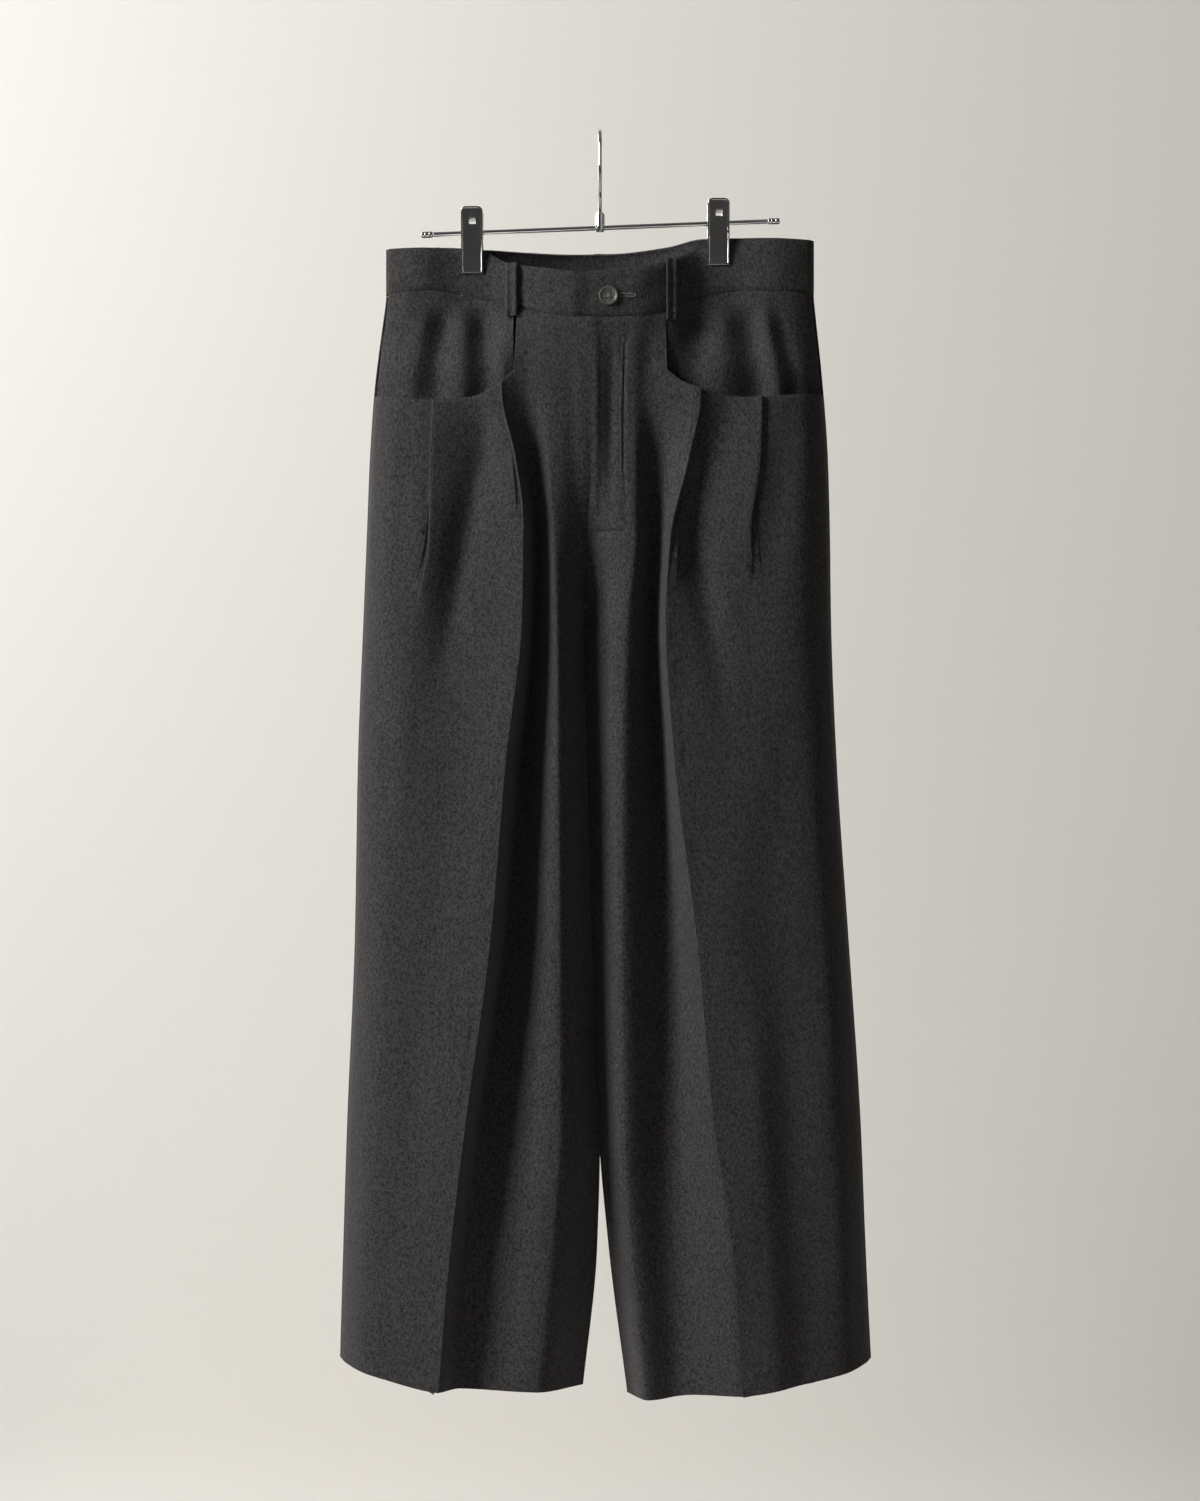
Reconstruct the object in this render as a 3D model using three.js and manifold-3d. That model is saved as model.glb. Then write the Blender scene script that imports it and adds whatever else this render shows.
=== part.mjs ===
import * as THREE from 'three';
import { mergeVertices } from 'three/addons/utils/BufferGeometryUtils.js';
import Module from 'manifold-3d';

// Pleated wide-leg trousers hanging from a clip hanger.
// Millimetres, +Z up, the front faces -Y, and right and left are the wearer's.
// The origin is the inside top of the hook's crown, where the hanger is held up.

const wasm = await Module();
wasm.setup();

// Driving dimensions
const CLOTH = 1.6;
const TURN_UP_WALL = 3.2;
const TURN_UP_HEIGHT = 24;
const BAND_WALL = 3.2;
const SEAM_GAP = 0.3;
const POCKET_CORNER_Z = -216;
const MOUTH_Z = -235;
const POCKET_BAG_Z = -375;
const CROTCH_Z = -430;
const LEG_OVERLAP = 1.5;
const FLY_X = -8;

// Heights of the tables' columns: waist seam, pocket mouth, then down the leg to the hem
const HEIGHTS = [-150, -237, -295, -367, -439, -565, -727, -889, -1006, -1135];

// Fold lines of each front panel, from the side seam to the centre: x across and y in depth at each height
const FRONT_FOLDS = {
  right: {
    side: { x: [-193, -204, -208, -211, -214, -219, -222, -229, -233, -237],
      y: [8, 10, 12, 14, 15, 16, 18, 22, 26, 30] },
    turn: { x: [-189, -199, -203, -206, -209, -214, -217, -223, -227, -231],
      y: [-1, -6, -6, -6, -6, -6, -4, 0, 4, 9] },
    swell: { x: [-168, -178, -181, -184, -186, -190, -194, -201, -206, -211],
      y: [-8, -23, -27, -29, -31, -31, -31, -28, -26, -21] },
    outerPleat: { x: [-150, -150, -152, -153, -164, -170, -175, -182, -187, -191],
      y: [-8, -28, -32, -35, -35, -36, -36, -35, -33, -29] },
    trough: { x: [-117, -117, -107, -120, -131, -138, -148, -159, -168, -176],
      y: [-8, -28, -26, -27, -29, -36, -40, -40, -39, -34] },
    crease: { x: [-89, -89, -77, -68, -69, -83, -97, -119, -133, -144],
      y: [-16, -34, -38, -42, -45, -49, -52, -52, -50, -45] },
    valley: { x: [-60, -66, -61, -56, -58, -70, -84, -105, -118, -125],
      y: [-22, -26, -14, -4, 2, 4, 2, -6, -14, -18] },
    inner: { x: [-40, -46, -45, -41, -39, -38, -37, -37, -45, -58],
      y: [-25, -29, -31, -33, -36, -39, -40, -40, -37, -31] },
    centre: { x: [-8.2, -8.2, -8.2, -12, -13.7, -11, -6.4, -1.4, -4.2, -17.5],
      y: [-29, -29, -26, -12, 13, 15.5, 15.5, 15.5, 16, 16] },
  },
  left: {
    side: { x: [193, 202, 206, 208, 209, 214, 225, 236, 241, 247.5],
      y: [8, 10, 12, 14, 15, 16, 18, 22, 26, 30] },
    turn: { x: [189, 197, 201, 203, 204, 209, 220, 230, 235, 241],
      y: [-1, -6, -6, -6, -6, -6, -4, 0, 4, 9] },
    swell: { x: [170, 178, 181, 182, 183, 188, 199, 209, 214, 220],
      y: [-8, -21, -25, -27, -29, -29, -29, -27, -25, -20] },
    outerPleat: { x: [150, 146, 144, 135, 138, 148, 158, 167, 174, 181],
      y: [-8, -28, -32, -34, -35, -36, -36, -34, -32, -29] },
    trough: { x: [117, 117, 100, 86, 97, 110, 123, 139, 148, 157],
      y: [-8, -28, -28, -30, -35, -40, -43, -44, -43, -39] },
    crease: { x: [91, 91, 81, 64, 58, 66, 86, 101, 118, 127],
      y: [-16, -34, -36, -40, -42, -45, -46, -46, -46, -42] },
    valley: { x: [50, 47, 47, 50, 49, 54, 58, 60, 63, 70],
      y: [-25, -25, -14, -6, -2, 0, -3, -8, -13, -17] },
    inner: { x: [30, 30, 31, 31, 25, 21, 21, 23, 30, 43],
      y: [-28, -29, -29, -30, -30, -31, -31, -30, -28, -26] },
    centre: { x: [-7.8, -7.8, -7.8, -11.6, -13.3, -10, -5.4, -0.4, 9.5, 26],
      y: [-29, -29, -26, -12, 7, 8, 8, 8, 12, 16] },
  },
};

// Depth of the back panels at shares of the way from the side seam to the centre back
const BACK_FOLDS = [
  { share: 0.03, y: [14, 20, 24, 27, 29, 31, 33, 37, 41, 45] },
  { share: 0.2, y: [13, 27, 31, 34, 36, 38, 40, 44, 48, 50] },
  { share: 0.45, y: [8, 32, 38, 42, 45, 49, 53, 57, 59, 57] },
  { share: 0.62, y: [16, 30, 35, 38, 38, 38, 40, 43, 45, 46] },
  { share: 0.85, y: [24, 33, 37, 37, 33, 34, 35, 36, 38, 39] },
];

const BACK_CENTRE_Y = {
  right: [27, 31, 32, 26, 13.8, 16.1, 16.1, 16.1, 16.6, 16.6],
  left: [27, 31, 32, 26, 7.8, 8.6, 8.6, 8.6, 12.6, 16.6],
};

// Pleats that open from the pocket mouth: undercut at the mouth and the height of the tip
const PLEATS = {
  right: {
    outerPleat: { undercut: 8, tip: -395 },
    crease: { undercut: 3.4, tip: -340 },
  },
  left: {
    outerPleat: { undercut: 8, tip: -372 },
    crease: { undercut: 8, tip: -375 },
  },
};
const PLEAT_STEP = 4.4;
const PLEAT_TURN = 3.6;
const PLEAT_OPEN = -5;
const PLEAT_REACH = 20;

// Rows of x and z: scooped pocket mouth, waist seam, band tops and hems
const MOUTH = {
  right: [[-210, -237], [-150, -243.5], [-117, -241], [-97, -233], [-85, -224], [-77, POCKET_CORNER_Z]],
  left: [[60, POCKET_CORNER_Z], [72, -226], [90, -234], [117, -240], [131, -241], [162, -239], [205, -236]],
};
const SEAM = [[-193, -145], [-153, -143], [-126, -147], [-90, -155], [-72, -160], [-36, -167], [-8, -169],
  [36, -168], [56, -165], [81, -153], [104, -146], [130, -143], [193, -145]];
const FRONT_TOP = [[-193, -105], [-126, -105], [-104, -108], [-83, -119], [-50, -125], [-18, -129],
  [30, -126], [59, -119], [83, -109], [95, -104], [118, -96], [193, -97]];
const BACK_TOP = [[-193, -105], [-153, -103], [-104, -106], [-38, -107], [14, -106], [60, -102],
  [94, -96], [144, -97], [193, -97]];
const BACK_BAND_HEIGHT = 42;
const HEM = {
  right: [[-237, -1107], [-201, -1116], [-144, -1127], [-63, -1129], [-17.5, -1130]],
  left: [[26, -1137], [44, -1137], [84, -1133], [127, -1131], [184, -1122], [247.5, -1108]],
};
const CORNER_X = { right: -77, left: 60 };

// The clips pinch the band flat, and between them it bows forwards and backwards
const CLIP_X = { right: -115, left: 106.5 };
const CLIP_FLAT = 12;
const BAND_FACE = 3.6;
const BAND_FRONT = [[-193, 8], [-189, 0], [-160, -9], [CLIP_X.right - CLIP_FLAT, -BAND_FACE],
  [CLIP_X.right + CLIP_FLAT, -BAND_FACE], [-78, -13], [-40, -26], [-8, -30], [30, -29], [66, -17],
  [CLIP_X.left - CLIP_FLAT, -BAND_FACE], [CLIP_X.left + CLIP_FLAT, -BAND_FACE], [156, -9], [189, 0], [193, 8]];
const BAND_BACK = [[-193, 8.6], [-189, 14], [-160, 14], [CLIP_X.right - CLIP_FLAT, BAND_FACE],
  [CLIP_X.right + CLIP_FLAT, BAND_FACE], [-70, 14], [-20, 27], [10, 28], [60, 16],
  [CLIP_X.left - CLIP_FLAT, BAND_FACE], [CLIP_X.left + CLIP_FLAT, BAND_FACE], [156, 13], [189, 14], [193, 8.6]];

const BAND_STEP = 6;
const LOOP_WIDTH = 10.5;
const LOOP_LIFT = 1.4;
const LOOP_INSET = 2.5;
const LOOP_FOOT = 11;
const BUTTON_X = 7.6;
const BUTTON_Z = -151;
const BUTTON_RADIUS = 8.6;
const BUTTON_BACK = 1.2;

const WIRE_RADIUS = 1.65;
const HOOK_RADIUS = 20.65;
const HOOK_CENTRE_Z = -19;
const BAR_RADIUS = 2.2;
const BAR_LEFT = new THREE.Vector3(-150.5, 0, -92.29);
const BAR_RIGHT = new THREE.Vector3(151.5, 0, -80.51);
const CLIP_WIDTH = 19.6;
const CLIP_HEIGHT = 59.5;
const CLIP_SHEET = 1.2;
const CLIP_SPREAD = 8;

// Monotone cubic through rows of [a, b]
function smooth(rows) {
  const n = rows.length;
  const slope = [];
  for (let i = 0; i < n - 1; i += 1) {
    slope.push((rows[i + 1][1] - rows[i][1]) / (rows[i + 1][0] - rows[i][0]));
  }
  const tangent = rows.map((row, i) => {
    if (i === 0) return slope[0];
    if (i === n - 1) return slope[n - 2];
    if (slope[i - 1] * slope[i] <= 0) return 0;
    return (2 * slope[i - 1] * slope[i]) / (slope[i - 1] + slope[i]);
  });
  return (a) => {
    const clamped = Math.min(Math.max(a, rows[0][0]), rows[n - 1][0]);
    let i = 0;
    while (i < n - 2 && clamped > rows[i + 1][0]) i += 1;
    const width = rows[i + 1][0] - rows[i][0];
    const t = (clamped - rows[i][0]) / width;
    const t2 = t * t;
    const t3 = t2 * t;
    return rows[i][1] * (2 * t3 - 3 * t2 + 1) + tangent[i] * width * (t3 - 2 * t2 + t)
      + rows[i + 1][1] * (3 * t2 - 2 * t3) + tangent[i + 1] * width * (t3 - t2);
  };
}

function byHeight(values) {
  return smooth(HEIGHTS.map((z, i) => [z, values[i]]).reverse());
}

function ramp(from, to, value) {
  const t = Math.min(Math.max((value - from) / (to - from), 0), 1);
  return t * t * (3 - 2 * t);
}

const mix = (a, b, t) => a + (b - a) * t;
const seamZ = smooth(SEAM);
const frontTopZ = smooth(FRONT_TOP);
const backTopZ = smooth(BACK_TOP);
const bandFrontY = smooth(BAND_FRONT);
const bandBackY = smooth(BAND_BACK);

// A wall through a grid of outer points: keep(row, column) says which cells it has
function clothSolid(grid, outward, { wall = () => CLOTH, keep = () => true, inward = () => null } = {}) {
  const rows = grid.length;
  const columns = grid[0].length;
  const normals = grid.map((row) => row.map(() => new THREE.Vector3()));
  const total = new THREE.Vector3();
  const cell = (r, c) => r >= 0 && c >= 0 && r < rows - 1 && c < columns - 1 && keep(r, c);
  for (let r = 0; r < rows - 1; r += 1) {
    for (let c = 0; c < columns - 1; c += 1) {
      if (!cell(r, c)) continue;
      const across = grid[r + 1][c + 1].clone().sub(grid[r][c]);
      const down = grid[r + 1][c].clone().sub(grid[r][c + 1]);
      const normal = across.cross(down);
      total.add(normal);
      normal.normalize();
      for (const [i, j] of [[r, c], [r, c + 1], [r + 1, c], [r + 1, c + 1]]) normals[i][j].add(normal);
    }
  }
  const flip = total.dot(outward) < 0;
  const positions = [];
  const outer = grid.map(() => []);
  const inner = grid.map(() => []);
  for (let r = 0; r < rows; r += 1) {
    for (let c = 0; c < columns; c += 1) {
      if (!(cell(r, c) || cell(r - 1, c) || cell(r, c - 1) || cell(r - 1, c - 1))) continue;
      const point = grid[r][c];
      const into = inward(r, c) ?? normals[r][c].clone().normalize().multiplyScalar(flip ? 1 : -1);
      const under = point.clone().addScaledVector(into, wall(r, c));
      outer[r][c] = positions.length / 3;
      positions.push(point.x, point.y, point.z);
      inner[r][c] = positions.length / 3;
      positions.push(under.x, under.y, under.z);
    }
  }
  const index = [];
  const quad = (a, b, c, d) => {
    if (flip) index.push(a, c, b, a, d, c);
    else index.push(a, b, c, a, c, d);
  };
  for (let r = 0; r < rows - 1; r += 1) {
    for (let c = 0; c < columns - 1; c += 1) {
      if (!cell(r, c)) continue;
      quad(outer[r][c], outer[r + 1][c], outer[r + 1][c + 1], outer[r][c + 1]);
      quad(inner[r][c], inner[r][c + 1], inner[r + 1][c + 1], inner[r + 1][c]);
      if (!cell(r - 1, c)) quad(outer[r][c], outer[r][c + 1], inner[r][c + 1], inner[r][c]);
      if (!cell(r + 1, c)) quad(outer[r + 1][c], inner[r + 1][c], inner[r + 1][c + 1], outer[r + 1][c + 1]);
      if (!cell(r, c - 1)) quad(outer[r][c], inner[r][c], inner[r + 1][c], outer[r + 1][c]);
      if (!cell(r, c + 1)) quad(outer[r][c + 1], outer[r + 1][c + 1], inner[r + 1][c + 1], inner[r][c + 1]);
    }
  }
  const geometry = new THREE.BufferGeometry();
  geometry.setAttribute('position', new THREE.Float32BufferAttribute(positions, 3));
  geometry.setIndex(index);
  return facingOut(geometry);
}

function facingOut(geometry) {
  const position = geometry.getAttribute('position');
  const index = geometry.getIndex();
  let volume = 0;
  const corner = [new THREE.Vector3(), new THREE.Vector3(), new THREE.Vector3()];
  for (let i = 0; i < index.count; i += 3) {
    for (let k = 0; k < 3; k += 1) corner[k].fromBufferAttribute(position, index.getX(i + k));
    volume += corner[0].dot(corner[1].cross(corner[2]));
  }
  if (volume < 0) {
    for (let i = 0; i < index.count; i += 3) {
      const first = index.getX(i);
      index.setX(i, index.getX(i + 1));
      index.setX(i + 1, first);
    }
  }
  geometry.computeVertexNormals();
  return geometry;
}

// The section of a front panel: fold lines as functions of height
function frontPanel(side) {
  const inwards = side === 'right' ? 1 : -1;
  const folds = FRONT_FOLDS[side];
  const names = Object.keys(folds);
  const x = {};
  const y = {};
  for (const name of names) {
    x[name] = byHeight(folds[name].x);
    const depth = [...folds[name].y];
    depth[0] = bandFrontY(folds[name].x[0]) + 0.6;
    y[name] = byHeight(depth);
  }

  // Below the crotch each inner edge reaches past the middle, and the left leg's lies in front
  const centre = x.centre;
  x.centre = (z) => centre(z) + inwards * LEG_OVERLAP * ramp(CROTCH_Z, CROTCH_Z - 18, z);
  const base = (at, z) => {
    const rows = names.map((name) => [inwards * x[name](z), y[name](z)]);
    const ridge = names.indexOf('crease');
    const outerPart = smooth(rows.slice(0, ridge + 1));
    const innerPart = smooth(rows.slice(ridge));
    const value = inwards * at;
    return value < rows[ridge][0] ? outerPart(value) : innerPart(value);
  };
  const pleatState = (name, z) => {
    const { undercut, tip } = PLEATS[side][name];
    const opened = ramp(MOUTH_Z, tip, z);
    return {
      edge: x[name](z),
      undercut: mix(undercut, PLEAT_OPEN, opened),
      step: PLEAT_STEP * (1 - ramp(mix(MOUTH_Z, tip, 0.8), mix(MOUTH_Z, tip, 1.35), z)),
    };
  };
  const shift = (at, z) => {
    let sum = 0;
    for (const name of Object.keys(PLEATS[side])) {
      const { edge, step } = pleatState(name, z);
      const reach = inwards * (at - edge);
      sum += -Math.sign(reach) * 0.5 * step * Math.exp(-Math.abs(reach) / PLEAT_REACH);
    }
    return sum;
  };
  return { inwards, x, y, base, pleatState, depth: (at, z) => base(at, z) + shift(at, z) };
}

const ACROSS = new THREE.Vector3(1, 0, 0);
const BACK = new THREE.Vector3(0, 1, 0);
const AHEAD = new THREE.Vector3(0, -1, 0);
const FRONT = { right: frontPanel('right'), left: frontPanel('left') };

// Columns of the front grid: a fold line, or a share of the way from it to the next, or a pleat's four turns
const FRONT_COLUMNS = [
  ['side', 1], ['turn', 2], ['swell', 2], ['outerPleat', 4], ['trough', 3], ['crease', 3],
  ['valley', 3], ['inner', 4], ['centre', 0],
];
const UPPER_SHARES = [0, 0.25, 0.5, 0.75];
const LEG_SHARES = [0, 0.015, 0.04, 0.07, 0.1, 0.13, 0.16, 0.2, 0.241, 0.275, 0.33, 0.4, 0.48, 0.57, 0.66,
  0.75, 0.84, 0.92, 1];

function frontColumns(side) {
  const columns = [];
  FRONT_COLUMNS.forEach(([name, count], i) => {
    if (PLEATS[side][name]) {
      for (const turn of ['bottom', 'under', 'middle', 'top']) columns.push({ name, turn });
    } else {
      columns.push({ name, share: 0 });
    }
    for (let k = 1; k < count; k += 1) columns.push({ name, next: FRONT_COLUMNS[i + 1][0], share: k / count });
  });
  return columns;
}

function legRows(top, hem) {
  const shares = LEG_SHARES.slice(0, -1).map((share) => mix(top, hem + TURN_UP_HEIGHT, share));
  return [...shares, hem + TURN_UP_HEIGHT, hem + TURN_UP_HEIGHT - 0.5, hem + 1.5, hem];
}

function frontGrid(side) {
  const leg = FRONT[side];
  const columns = frontColumns(side);
  const mouth = smooth(MOUTH[side]);
  const hem = smooth(HEM[side]);
  const cornerColumn = columns.findIndex((column) => column.name === 'crease' && column.share);
  const upper = UPPER_SHARES.length;
  const grid = [];
  const place = (column, z) => {
    if (column.turn) {
      const { edge, undercut, step } = leg.pleatState(column.name, z);
      const centreY = leg.base(edge, z);
      const share = step / PLEAT_STEP;
      const deep = edge + leg.inwards * undercut;
      const y = {
        bottom: centreY + step / 2,
        under: centreY + step / 2 - (PLEAT_STEP - PLEAT_TURN) * share,
        middle: centreY - step / 2 + PLEAT_TURN * share,
        top: centreY - step / 2,
      }[column.turn];
      const spread = { bottom: -3, under: -1.5, middle: -0.6, top: 0 }[column.turn] * (1 - share);
      const at = column.turn === 'bottom' || column.turn === 'under' ? deep : edge;
      return new THREE.Vector3(at + leg.inwards * spread, y, z);
    }
    const from = leg.x[column.name](z);
    const to = column.next ? leg.x[column.next](z) : from;
    const at = mix(from, to, column.share);
    return new THREE.Vector3(at, leg.depth(at, z), z);
  };
  const upperX = (c) => {
    const first = place(columns[c], POCKET_CORNER_Z).x;
    const corner = place(columns[cornerColumn], POCKET_CORNER_Z).x;
    return first + (CORNER_X[side] - corner) * (c === cornerColumn ? 1 : 0);
  };
  for (let r = 0; r < upper; r += 1) {
    grid.push(columns.map((column, c) => {
      const low = upperX(Math.max(c, cornerColumn));
      const name = column.next ?? column.name;
      const top = c >= cornerColumn ? mix(low, leg.x[name](HEIGHTS[0]), name === 'centre' ? 0 : 0.15) : low;
      const at = mix(top, low, UPPER_SHARES[r]);
      const z = mix(seamZ(at) - SEAM_GAP, POCKET_CORNER_Z, UPPER_SHARES[r]);
      return new THREE.Vector3(at, leg.depth(at, z), z);
    }));
  }
  const stations = columns.map((column, c) => {
    const at = place(column, MOUTH_Z).x;
    const top = c < cornerColumn ? mouth(at) : POCKET_CORNER_Z;
    const bottom = hem(place(column, HEIGHTS[9] + 8).x);
    return legRows(top, bottom);
  });
  for (let r = 0; r < stations[0].length; r += 1) {
    grid.push(columns.map((column, c) => {
      const point = place(column, stations[c][r]);
      if (c === cornerColumn && r === 0) point.x = CORNER_X[side];
      return point;
    }));
  }
  const rows = grid.length;
  const last = columns.length - 1;
  return {
    grid,
    keep: (r, c) => r >= upper || c >= cornerColumn,
    wall: (r) => (r >= rows - 3 ? TURN_UP_WALL : CLOTH),
    inward: (r, c) => {
      if (c === 0) return new THREE.Vector3(leg.inwards, 0, 0);
      if (r === 0) return BACK;
      if (c !== last) return null;
      const below = ramp(CROTCH_Z + 32, CROTCH_Z + 8, grid[r][c].z);
      return new THREE.Vector3(-leg.inwards * below, 1 - below, 0).normalize();
    },
  };
}

function backGrid(side) {
  const leg = FRONT[side];
  const hem = smooth(HEM[side]);
  const centreY = byHeight(BACK_CENTRE_Y[side]);
  const folds = BACK_FOLDS.map(({ share, y }) => ({ share, y: byHeight(y) }));
  const shares = [0, 0.03, 0.1, 0.2, 0.29, 0.37, 0.45, 0.51, 0.56, 0.62, 0.7, 0.78, 0.85, 0.93, 1];
  const sideY = (z) => leg.y.side(z) + 0.4;
  const columns = shares.map((share) => {
    const waistX = mix(leg.x.side(HEIGHTS[0]), leg.inwards * -0.2, share);
    const top = backTopZ(waistX) - BACK_BAND_HEIGHT - SEAM_GAP;
    const bottom = hem(mix(leg.x.side(-1120), leg.x.centre(-1120), share));
    return legRows(top, bottom).map((z) => {
      const seat = ramp(-240, CROTCH_Z, z);
      const centreX = mix(leg.inwards * -0.2, leg.x.centre(z), seat);
      const x = mix(leg.x.side(z), centreX, share);
      const rows = [[0, sideY(z)], ...folds.map((fold) => [fold.share, fold.y(z)]), [1, centreY(z)]];
      const free = smooth(rows)(share);
      const atBand = bandBackY(x) - 0.6;
      return new THREE.Vector3(x, mix(free, atBand, ramp(-215, top, z) * (share > 0 ? 1 : 0)), z);
    });
  });
  const grid = columns[0].map((_, r) => columns.map((column) => column[r]));
  const rows = grid.length;
  const last = shares.length - 1;
  return {
    grid,
    wall: (r) => (r >= rows - 3 ? TURN_UP_WALL : CLOTH),
    inward: (r, c) => {
      if (c === 0) return new THREE.Vector3(leg.inwards, 0, 0);
      if (c !== last) return null;
      const below = ramp(CROTCH_Z + 32, CROTCH_Z + 8, grid[r][c].z);
      return new THREE.Vector3(-leg.inwards * below, below - 1, 0).normalize();
    },
  };
}

// Hip yoke that shows above the pocket mouth and hangs on behind the panel as the pocket's back
function pocketGrid(side) {
  const leg = FRONT[side];
  const columns = [0, 0.05, 0.13, 0.22, 0.31, 0.4, 0.49, 0.58, 0.67, 0.76, 0.84, 0.92, 1];
  const heights = [0, 0.12, 0.24, 0.34, 0.42, 0.5, 0.58, 0.72, 0.86, 1];
  const folds = { right: [[-172, 1], [-153, 5], [-133, -3], [-113, 6], [-95, 0]],
    left: [[80, 0], [92, 5], [112, -4], [137, 5], [158, -2], [174, 4], [184, 0]] }[side];
  const ripple = smooth(folds);
  return {
    grid: heights.map((share) => columns.map((across) => {
      const outerX = (z) => leg.x.side(z) + leg.inwards * 2.2;
      const innerX = (z) => {
        const above = CORNER_X[side] - leg.inwards * 2 * SEAM_GAP;
        const below = leg.x.crease(Math.min(z, MOUTH_Z)) - leg.inwards * 12;
        return mix(above, below, ramp(POCKET_CORNER_Z + 4, POCKET_CORNER_Z - 30, z));
      };
      const waistX = mix(outerX(HEIGHTS[0]), innerX(HEIGHTS[0]), across);
      const z = mix(seamZ(waistX) - SEAM_GAP, POCKET_BAG_Z, share);
      const x = mix(outerX(z), innerX(z), across);
      const fromSide = Math.abs(x - outerX(z));
      const fromCorner = Math.abs(x - innerX(z));
      const flush = (1 - ramp(0, 18, fromCorner)) * ramp(POCKET_CORNER_Z + 4, -180, z);
      const behind = 8.5 * (1 - flush) * ramp(-150, -190, z) + 0.2;
      const front = leg.base(x, z) + behind + ripple(x) * ramp(-150, -185, z) * (1 - ramp(-236, -262, z));
      const atSide = leg.y.side(z) - 1 - 9 * ramp(0, 10, fromSide);
      const y = mix(Math.min(atSide, front), front, ramp(8, 30, fromSide));
      return new THREE.Vector3(x, y, z);
    })),
    inward: (r, c) => {
      if (c === 0) return new THREE.Vector3(leg.inwards, 0, 0);
      return c === columns.length - 1 || r === 0 ? BACK : null;
    },
  };
}

function flyShieldGrid() {
  const columns = [-15, -8, 2, 12, 22, 30];
  const heights = [0, 0.2, 0.4, 0.6, 0.8, 1];
  return heights.map((share) => columns.map((x) => {
    const z = mix(seamZ(x) - SEAM_GAP - 1, -352, share);
    const depth = Math.max(FRONT.right.depth(Math.min(x, -9), z), FRONT.left.depth(Math.max(x, -7), z));
    return new THREE.Vector3(x, depth + CLOTH + 0.9, z);
  }));
}

function bandStations(from, to, step) {
  const count = Math.round(Math.abs(to - from) / step);
  return Array.from({ length: count + 1 }, (_, i) => mix(from, to, i / count));
}

function bandGrid(stations, depth, top, bottom) {
  return [0, 0.5, 1].map((share) => stations.map((x) => (
    new THREE.Vector3(x, depth(x), mix(top(x), bottom(x), share))
  )));
}

function bandWall(stations, first, last) {
  return {
    wall: () => BAND_WALL,
    inward: (r, c) => {
      if (c === 0) return first;
      return c === stations.length - 1 ? last : null;
    },
  };
}

// Belt loop: a folded strip that stands a little off the band. A front one ends below the waist seam
function loopGrid(x, facing, surface, top, bottom) {
  const shares = [0, 0.1, 0.3, 0.64, 0.8, 0.88, 1];
  return shares.map((share) => [-0.5, 0, 0.5].map((across) => {
    const at = x + across * LOOP_WIDTH;
    const z = mix(top(x) - LOOP_INSET, bottom(x) + LOOP_INSET, share);
    const lift = LOOP_LIFT * ramp(0, 0.2, share) * ramp(1, 0.8, share);
    return new THREE.Vector3(at, surface(at, z) + facing * (CLOTH + SEAM_GAP + lift), z);
  }));
}

function toSolid(geometry) {
  const plain = new THREE.BufferGeometry();
  plain.setAttribute('position', geometry.getAttribute('position'));
  if (geometry.getIndex()) plain.setIndex(geometry.getIndex());
  const merged = mergeVertices(plain, 1e-4);
  return new wasm.Manifold(new wasm.Mesh({
    numProp: 3,
    vertProperties: new Float32Array(merged.getAttribute('position').array),
    triVerts: new Uint32Array(merged.getIndex().array),
  }));
}

function fromSolid(solid) {
  const mesh = solid.getMesh();
  const geometry = new THREE.BufferGeometry();
  geometry.setAttribute('position', new THREE.BufferAttribute(new Float32Array(mesh.vertProperties), 3));
  geometry.setIndex(new THREE.BufferAttribute(new Uint32Array(mesh.triVerts), 1));
  geometry.computeVertexNormals();
  return geometry;
}

// Four-hole button, a turned disc with a raised rim
function buttonGeometry() {
  const profile = [[0, -BUTTON_BACK], [5.2, -BUTTON_BACK], [BUTTON_RADIUS, 0], [BUTTON_RADIUS, 1.2], [7.4, 2.2],
    [6.2, 1.4], [0, 1.4]].map(([r, h]) => new THREE.Vector2(r, h));
  let solid = toSolid(new THREE.LatheGeometry(profile, 24));
  for (const [a, b] of [[1, 1], [1, -1], [-1, 1], [-1, -1]]) {
    const hole = new THREE.CylinderGeometry(0.9, 0.9, 8, 8);
    hole.translate(a * 1.6, 0, b * 1.6);
    solid = solid.subtract(toSolid(hole));
  }
  return fromSolid(solid);
}

function tube(points, radius, sides, steps) {
  const circle = new THREE.Shape();
  for (let i = 0; i < sides; i += 1) {
    const angle = (i / sides) * Math.PI * 2;
    const method = i === 0 ? 'moveTo' : 'lineTo';
    circle[method](Math.cos(angle) * radius, Math.sin(angle) * radius);
  }
  const path = new THREE.CatmullRomCurve3(points, false, 'centripetal');
  return new THREE.ExtrudeGeometry(circle, { steps, extrudePath: path, bevelEnabled: false });
}

// Wire hook: up from the ferrule, forward, over the crown and down behind
function hookGeometry() {
  const points = [new THREE.Vector3(0, 0, -79.5), new THREE.Vector3(0, 0, -73),
    new THREE.Vector3(0, -3, -64), new THREE.Vector3(0, -14, -50), new THREE.Vector3(0, -19.6, -38)];
  const turns = 12;
  for (let i = 0; i <= turns; i += 1) {
    const angle = Math.PI * (1.04 - (1.22 * i) / turns);
    points.push(new THREE.Vector3(0, Math.cos(angle) * HOOK_RADIUS, HOOK_CENTRE_Z + Math.sin(angle) * HOOK_RADIUS));
  }
  return tube(points, WIRE_RADIUS, 8, 34);
}

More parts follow.
